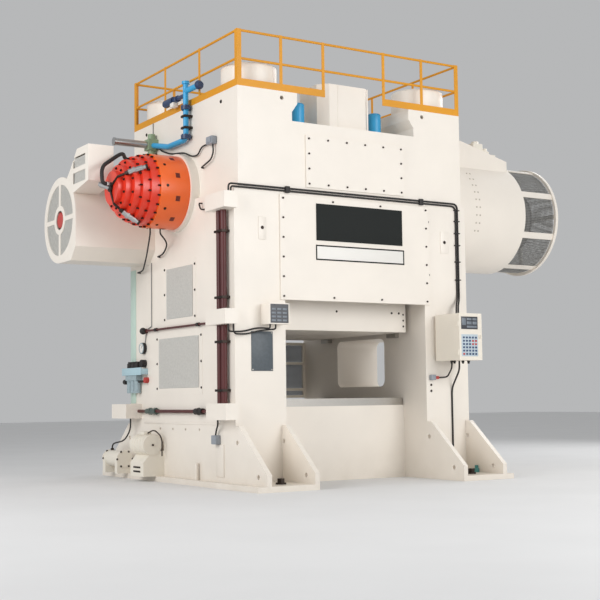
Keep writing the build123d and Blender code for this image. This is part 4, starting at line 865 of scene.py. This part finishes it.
def add_brake_fittings():
    """Drum pockets as dark red patches of painted shade, studs, two fittings that run outwards over the
    stepped face, and its centre.
    """
    silver = Form()
    dark = Form()
    pocket_shade = Form()
    drum_radius = 0.612
    pocket_half = 0.042
    # Each pocket is a thin dark red patch on the drum, painted shade that stands for the hollow of the
    # pocket
    pocket_low = (-2.595, -pocket_half, shaft_z + drum_radius - 0.006)
    pocket_high = (-2.52, pocket_half, shaft_z + drum_radius + 0.002)
    drum_stud_x = -2.75
    stud_shift = 0.3
    for turn in turns(10):
        pocket_shade.box_round_shaft(pocket_low, pocket_high, turn)
        stud_turn = turn + stud_shift + math.pi / 2
        way = Vector((0, math.cos(stud_turn), math.sin(stud_turn)))
        dark.bolt(round_shaft(stud_turn, drum_radius, drum_stud_x), way, radius=0.016, height=0.012)
    for radius, x, count in ((0.428, -3.265, 12), (0.327, -3.375, 10)):
        for turn in turns(count, shift=0.5):
            dark.bolt(round_shaft(turn, radius, x), leftwards, radius=0.015, height=0.024)
    # Rods of a fitting: distance from the axis and X of both ends, radius and sides
    fitting = (
        (dark, (0.05, -3.49), (0.29, -3.46), 0.018, 20),
        (dark, (0.29, -3.46), (0.4, -3.345), 0.02, 20),
        (dark, (0.38, -3.366), (0.42, -3.324), 0.036, 6),
        (silver, (0.42, -3.324), (0.56, -3.13), 0.046, 20),
        (silver, (0.46, -3.269), (0.485, -3.234), 0.06, 6),
        (silver, (0.56, -3.13), (0.6, -3.075), 0.034, 20),
        (dark, (0.59, -3.09), (0.61, -3.06), 0.04, 6),
    )
    for way_y, way_z in ((-0.87, 0.5), (-0.33, -0.944)):
        for form, start, end, radius, sides in fitting:
            ends = [(x, way_y * away, shaft_z + way_z * away) for away, x in (start, end)]
            form.rod(*ends, radius, sides)
    elbow_start = (-3.46, 0.06, 4.8)
    elbow_middle = (-3.6, 0.14, 4.85)
    elbow_end = (-3.62, 0.152, 4.857)
    silver.rod(elbow_start, elbow_middle, radius=0.05)
    silver.rod(elbow_middle, elbow_end, radius=0.036)
    centre_x = (-3.465, -3.5)
    hose_nut_x = (-3.5, -3.55)
    dark.rod_x(centre_x, 0, shaft_z, radius=0.07, sides=24)
    silver.rod_x(hose_nut_x, 0, hose_z, radius=0.042, sides=6)
    pocket_shade.place("brake_pocket_shade", "red_paint", "pocket_red")
    silver.place("brake_fittings", "silver")
    dark.place("brake_fitting_pipes", "dark_steel")


def add_air_line():
    """Branch, flanges, valve and actuator of the blue air line."""
    x = -2.285
    y = -0.337
    branch_z = 6.44
    branch_y = (y, -0.8)
    blue = Form()
    blue.rod_y(x, branch_y, branch_z, radius=0.046)
    blue.ball((x, y, branch_z), radius=0.05)
    blue.place("air_branch", "blue_paint")
    dark = Form()
    flange_radius = 0.085
    flange_depth = 0.03
    flange_pitch = 0.034
    screw_circle = 0.068
    screw_low = 0.015
    screw_high = 0.08
    for z in (6.13, 5.64):
        for low in (z, z + flange_pitch):
            dark.rod_z(x, y, (low, low + flange_depth), flange_radius, sides=24)
        for turn in turns(6):
            screw_x = x + screw_circle * math.cos(turn)
            screw_y = y + screw_circle * math.sin(turn)
            dark.rod_z(screw_x, screw_y, (z - screw_low, z + screw_high), radius=0.009, sides=6)
    cap_y = (branch_y[1], -0.83)
    cone_start = (x, cap_y[1], branch_z)
    cone_end = (x, -0.88, 6.43)
    dark.rod_y(x, cap_y, branch_z, radius=0.075, sides=24)
    dark.rod(cone_start, cone_end, radius=0.07, sides=24, tip=0.05)
    valve_z = 6.38
    for valve_y, radius, sides in (
        ((y, 0.1), 0.036, 20),
        ((0.1, 0.42), 0.068, 24),
        ((0.42, 0.47), 0.045, 24),
        ((-0.05, 0.0), 0.06, 6),
    ):
        dark.rod_y(x, valve_y, valve_z, radius, sides)
    dark.place("air_valve", "blue_paint", "dark_blue")
    pale = Form()
    box_low = (-2.335, 0.04, 6.26)
    box_high = (-2.235, 0.17, 6.34)
    pale.box(box_low, box_high, bevel=0.01)
    pale.place("air_actuator_box", "cream_paint", "plate_white")


def add_sockets():
    """Sockets on the crown, the left side and the right upright, and the plug in the last."""
    socket = Form()
    crown_depth = 0.105
    crown_y = (-1.26, -1.06)
    crown_z = (5.4, 5.53)
    lid_y = (-1.235, -1.085)
    lid_z = (5.425, 5.505)
    low_y = (-1.45, -1.3)
    low_z = (0.66, 0.8)
    right_x = (1.43, 1.53)
    right_z = (1.63, 1.72)
    socket.on_side(crown_side, crown_y, crown_z, crown_depth, bevel=0.018)
    socket.on_side(crown_side - crown_depth, lid_y, lid_z, depth=0.01, bevel=0.006)
    socket.on_side(side, low_y, low_z, depth=0.095, bevel=0.012)
    socket.on_front(front, right_x, right_z, depth=0.07, bevel=0.012)
    socket.place("sockets", "service_plastic", "socket_grey")
    plug = Form()
    plug_x = (right_x[1], 1.6)
    plug_y = -1.96
    plug_z = 1.672
    plug.rod_x(plug_x, plug_y, plug_z, radius=0.026)
    plug.place("plug", "red_paint", "key_red")


def rounded(corners, bend):
    """Line through corners, each corner rounded off."""
    corners = [Vector(corner) for corner in corners]
    points = [corners[0]]
    steps = 10
    most_share = 0.48
    for before, here, after in zip(corners, corners[1:], corners[2:]):
        reach = min(bend, (here - before).length * most_share, (after - here).length * most_share)
        start = here + (before - here).normalized() * reach
        end = here + (after - here).normalized() * reach
        for step in range(steps + 1):
            share = step / steps
            points.append(start.lerp(here, share).lerp(here.lerp(end, share), share))
    points.append(corners[-1])
    return points


def add_leads():
    """Smooth rubber hose and leads in place of the jointed ones of the source."""
    hose = Form()
    hose_route = (
        (-2.285, 1.0, 5.59), (-2.285, 1.0, 5.42), (-2.86, 0.82, 5.44), (-3.12, 0.33, 5.46),
        (-3.62, 0.04, 5.12), (-3.62, 0.0, hose_z), (-3.465, 0.0, hose_z),
    )
    hose.tube(rounded(hose_route, bend=0.22), radius=0.032)
    piece = hose.place("brake_hose_smooth", "black_rubber")
    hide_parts("brake_hose")
    leads = Form()
    cable_radius = 0.015
    cable_bend = 0.1
    y = front - cable_radius
    box_shift = 0.15
    box_y = y - box_shift
    for x_left, x_right, z in ((-2.33, 2.06, 4.605), (-2.372, 2.102, 4.647)):
        box_x = x_right - box_shift
        cable_route = (
            (x_left, y, 4.515), (x_left, y, z), (x_right, y, z), (x_right, y, 3.015),
            (box_x, box_y, 2.865), (box_x, box_y, 2.715),
        )
        leads.tube(rounded(cable_route, cable_bend), cable_radius, sides=12)
    foot_x = 1.9
    gland_y = y - 0.21
    foot_route = (
        (foot_x, gland_y, 1.945), (foot_x, gland_y, 1.795), (foot_x, y, 1.495), (foot_x, y, base_top),
    )
    leads.tube(rounded(foot_route, cable_bend), cable_radius, sides=12)
    for route in lead_routes:
        corners = [Vector(corner) / millimetres_in_metre for corner in route]
        leads.tube(rounded(corners, bend=0.2), radius=0.013, sides=12)
    piece = leads.place("leads_smooth", "black_rubber")
    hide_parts("wiring_leads")


def add_side_details():
    """Edge strip, thin pipes and small screw heads of the left side."""
    strip = Form()
    strip_y = (1.69, 1.915)
    strip_z = (1.3, 3.66)
    strip.on_side(side, strip_y, strip_z, depth=0.008, bevel=0.003)
    strip.place("edge_strip", "green_paint", "strip_green")
    thin = Form()
    pipe_gap = 0.01
    for face, start, end in (
        (side, (1.03, 2.62), (1.03, 3.72)),
        (side, (1.03, 2.62), (1.2, 2.58)),
        (side, (1.3, 2.33), (1.25, 2.5)),
        (crown_side, (1.107, 5.86), (1.107, 6.2)),
    ):
        x = face - pipe_gap
        thin.rod((x, *start), (x, *end), radius=0.009, sides=10)
    thin.place("thin_pipes", "mesh_grey", "wire_grey")
    heads = Form()
    head_z = 0.875
    for y in (0.71, 0.225, -0.244, -0.734):
        heads.bolt((side, y, head_z), leftwards, radius=0.014, height=0.01)
    heads.place("side_heads", "cream_paint", "head_grey")


def add_pads():
    """Pads, strips and ledge of the frame, with the bolts of the front and of the crown."""
    bolts = Form()
    pad_depth = 0.01
    for x, z in ((-1.775, 4.0), (1.81, 3.97)):
        bolts.bolt((x, front - pad_depth, z), forwards, radius=0.018, height=0.02)
    crown_bolt_z = 6.05
    for y in (-1.396, 1.396):
        bolts.bolt((crown_side, y, crown_bolt_z), leftwards, radius=0.02, height=0.014)
    upright_bolt_x = 1.47
    for z in (4.3, 3.4, 1.55, 1.45):
        bolts.bolt((upright_bolt_x, front, z), forwards, radius=0.014, height=0.012)
    bolts.place("side_bolts", "dark_steel")
    pads = Form()
    for pad_x, pad_z in (((-1.845, -1.706), (3.813, 4.166)), ((1.729, 1.892), (3.778, 4.152))):
        pads.on_front(front, pad_x, pad_z, pad_depth, bevel=0.004)
    low_pad_y = (-1.56, -1.3)
    low_pad_z = (0.16, 0.655)
    pads.on_side(side, low_pad_y, low_pad_z, depth=0.014, bevel=0.005)
    strip_x = (-1.37, 1.37)
    strip_z = (4.53, 4.605)
    strip_depth = 0.025
    for strip_front in (front + strip_depth, -front):
        pads.on_front(strip_front, strip_x, strip_z, strip_depth, bevel=0.002)
    ledge_y = (-1.4, 1.35)
    ledge_z = (0.955, 0.985)
    pads.on_side(side, ledge_y, ledge_z, depth=0.012, bevel=0.003)
    post_x = -2.32
    post_y = -0.727
    post_z = (base_top, 0.349)
    pads.rod_z(post_x, post_y, post_z, radius=0.03)
    seam_half = 0.012
    seam_z = (5.75, 6.49)
    for x in (-0.19, 0.397):
        pads.on_front(upper_cover_front, (x - seam_half, x + seam_half), seam_z, depth=0.004, bevel=0.001)
    pads.place("pads", "cream_paint")


def add_levelling_screws():
    """Levelling screws on the right foot."""
    form = Form()
    y = -2.21
    nut_z = (base_top, 0.15)
    stem_z = (0.15, 0.2)
    for x in (2.17, 2.34):
        form.rod_z(x, y, nut_z, radius=0.055, sides=6)
        form.rod_z(x, y, stem_z, radius=0.03)
    form.place("levelling_screws", "green_paint", "teal")


def add_service_unit():
    """Bar, knobs and gauge face of the air service unit."""
    bar = Form()
    bar_back = -2.39
    bar_y = (1.2, 2.0)
    bar_z = (1.79, 1.92)
    arm_y = (1.2, 1.235)
    arm_z = (1.8, 1.9)
    bar.on_side(bar_back, bar_y, bar_z, depth=0.02, bevel=0.004)
    bar.on_side(side, arm_y, arm_z, side - bar_back, bevel=0.003)
    bar.place("service_bar", "service_plastic", "pale_blue")
    black = Form()
    unit_x = -2.33
    knob_z = (1.904, 2.0)
    knob_top_z = (2.0, 2.03)
    for y in (1.507, 1.66, 1.813):
        black.rod_z(unit_x, y, knob_z, radius=0.055, sides=16)
        black.rod_z(unit_x, y, knob_top_z, radius=0.04, sides=16)
    side_knob_x = (-2.36, side)
    side_knob_y = 1.3
    side_knob_z = 1.99
    black.rod_x(side_knob_x, side_knob_y, side_knob_z, radius=0.065, sides=24)
    gauge_y = 1.335
    gauge_z = 2.255
    rim_x = (-2.331, side - 0.005)
    black.rod_x(rim_x, gauge_y, gauge_z, radius=0.098, sides=32)
    pipe_y = (1.25, 2.02)
    pipe_end_y = (1.95, 2.05)
    pipe_z = 1.68
    black.rod_y(unit_x, pipe_y, pipe_z, radius=0.02)
    black.rod_y(unit_x, pipe_end_y, pipe_z, radius=0.045, sides=12)
    black.place("service_knobs", "black_rubber")
    red = Form()
    button_x = (-2.34, side)
    button_y = 1.2
    button_z = 1.7
    red.rod_x(button_x, button_y, button_z, radius=0.05)
    red.place("service_button", "red_paint", "key_red")
    dial = Form()
    dial_x = (-2.335, rim_x[0])
    dial.rod_x(dial_x, gauge_y, gauge_z, radius=0.08, sides=32)
    dial.place("gauge_dial", "cream_paint", "plate_white")
    marks = Form()
    mark_count = 9
    first_mark = -45
    mark_step = 33.75
    mark_radius = 0.064
    mark_half = 0.004
    mark_depth = 0.002
    for number in range(mark_count):
        turn = math.radians(first_mark + number * mark_step)
        y = gauge_y - mark_radius * math.cos(turn)
        z = gauge_z + mark_radius * math.sin(turn)
        mark_y = (y - mark_half, y + mark_half)
        marks.on_side(dial_x[0], mark_y, (z - mark_half, z + mark_half), mark_depth)
    needle_x = dial_x[0] - mark_depth
    needle_tip = (needle_x, 1.3, 2.3)
    marks.rod((needle_x, gauge_y, gauge_z), needle_tip, radius=0.003, sides=6)
    marks.place("gauge_marks", "dark_steel", "plate_black")


def add_lube_details():
    """Rings, slots, flanges, screws and a lead of the lubrication motor and pump."""
    x = -2.49
    lube_motor_z = 0.607
    pump_z = 0.335
    cream = Form()
    ring_width = 0.035
    for y in (0.6, 0.7, 0.8, 0.9, 1.0):
        cream.rod_y(x, (y, y + ring_width), lube_motor_z, radius=0.176, sides=32)
    box_low = (-2.56, 0.74, 0.77)
    box_high = (-2.42, 0.94, 0.83)
    cream.box(box_low, box_high, bevel=0.01)
    flanges = (1.69, 2.31)
    flange_width = 0.034
    for y in flanges:
        cream.rod_y(x, (y, y + flange_width), pump_z, radius=0.15, sides=32)
    cream.place("lube_rings", "grey_paint")
    dark = Form()
    slot_back = -2.654
    slot_y = (0.68, 0.96)
    slot_height = 0.03
    for z in (0.15, 0.22):
        dark.on_side(slot_back, slot_y, (z, z + slot_height), depth=0.004, bevel=0.001)
    screw_circle = 0.145
    for y in flanges:
        for turn in turns(6):
            place = (x + screw_circle * math.cos(turn), y, pump_z + screw_circle * math.sin(turn))
            dark.bolt(place, forwards, radius=0.012, height=0.012)
    shaft_end_y = (0.545, 0.53)
    dark.rod_y(x, shaft_end_y, lube_motor_z, radius=0.018, sides=12)
    lead_route = ((x, 0.74, 0.8), (-2.43, 0.62, 0.86), (-2.36, 0.46, 0.74), (-2.36, 0.46, 0.42))
    dark.tube(rounded(lead_route, bend=0.1), radius=0.011, sides=10)
    gland_y = 2.24
    gland_z = (0.47, 0.51)
    dark.rod_z(x, gland_y, gland_z, radius=0.03, sides=6)
    dark.place("lube_screws", "dark_steel")


def add_flywheel_details():
    """Bolted seam of the flywheel housing and the fitting on its roof."""
    bolts = Form()
    housing_radius = 1.05
    row_count = 9
    first_turn = 138
    turn_step = 8
    for number in range(row_count):
        turn = math.radians(first_turn + number * turn_step)
        way = Vector((0, math.cos(turn), math.sin(turn)))
        for x in (3.3, 3.38):
            bolts.bolt(round_shaft(turn, housing_radius, x), way, radius=0.011, height=0.009)
    bolts.place("housing_bolts", "cream_paint", "head_grey")
    fitting = Form()
    y = -0.52
    body_low = (3.62, -0.61, 5.96)
    body_high = (3.86, -0.43, 6.13)
    fitting.box(body_low, body_high, bevel=0.02)
    nut_x = 3.74
    nut_z = (6.13, 6.17)
    fitting.rod_z(nut_x, y, nut_z, radius=0.07, sides=6)
    pipe_start = (3.86, y, 6.02)
    pipe_end = (4.05, y, 5.98)
    fitting.rod(pipe_start, pipe_end, radius=0.035)
    post_x = 3.98
    post_z = (5.92, 6.06)
    fitting.rod_z(post_x, y, post_z, radius=0.04)
    foot_low = (4.08, -0.58, 5.86)
    foot_high = (4.19, -0.46, 5.95)
    fitting.box(foot_low, foot_high, bevel=0.01)
    fitting.place("roof_fitting", "grey_paint")


def add_slide_bolts():
    """Screw heads on the slide's front."""
    form = Form()
    row_z = 2.77
    for x in (-1.15, -0.117, 1.0, 1.15):
        form.bolt((x, slide_front, row_z), forwards, radius=0.013, height=0.012)
    column_x = 1.24
    for z in (2.55, 2.65, 2.75):
        form.bolt((column_x, slide_front, z), forwards, radius=0.011, height=0.01)
    form.place("slide_bolts", "dark_steel", body="slide")


def add_stage():
    """Wide light floor."""
    size = 60
    corners = [(-size, -size, 0), (size, -size, 0), (size, size, 0), (-size, size, 0)]
    mesh = bpy.data.meshes.new("floor")
    mesh.from_pydata(corners, [], [(0, 1, 2, 3)])
    floor = bpy.data.objects.new("floor", mesh)
    scene.collection.objects.link(floor)
    paint(floor, dull("floor_grey", srgb(226, 226, 226), roughness=0.7, tone=0.97, scale=0.6))


def add_light(name, place, aim, energy, size):
    """Square lamp that looks at a point."""
    data = bpy.data.lights.new(name, "AREA")
    data.energy = energy
    data.size = size
    lamp = bpy.data.objects.new(name, data)
    lamp.location = place
    lamp.rotation_euler = (Vector(aim) - Vector(place)).to_track_quat("-Z", "Y").to_euler()
    scene.collection.objects.link(lamp)


def add_lights():
    """Key light from the front right, two fills and an even sky."""
    machine_middle = (0, 0, 3.2)
    flywheel_middle = (2, 0, 4)
    add_light("key", (4, -18, 7), machine_middle, energy=1400, size=9)
    add_light("left_fill", (-16, -4, 8), machine_middle, energy=1250, size=9)
    add_light("right_fill", (14, 2, 9), flywheel_middle, energy=700, size=8)
    world = bpy.data.worlds.new("studio")
    world.use_nodes = True
    sky = world.node_tree.nodes["Background"]
    sky.inputs["Color"].default_value = (0.86, 0.87, 0.88, 1)
    sky.inputs["Strength"].default_value = 0.55
    scene.world = world


add_camera()
paint_nodes()
add_flywheel_mesh()
add_motor_screen()
add_hood_face()
add_hood_corner()
add_side_screens()
add_rear_mesh()
add_plates()
add_indicator_face()
add_control_face()
add_clips()
add_brake_fittings()
add_air_line()
add_sockets()
add_leads()
add_side_details()
add_pads()
add_levelling_screws()
add_service_unit()
add_lube_details()
add_flywheel_details()
add_slide_bolts()
add_stage()
add_lights()
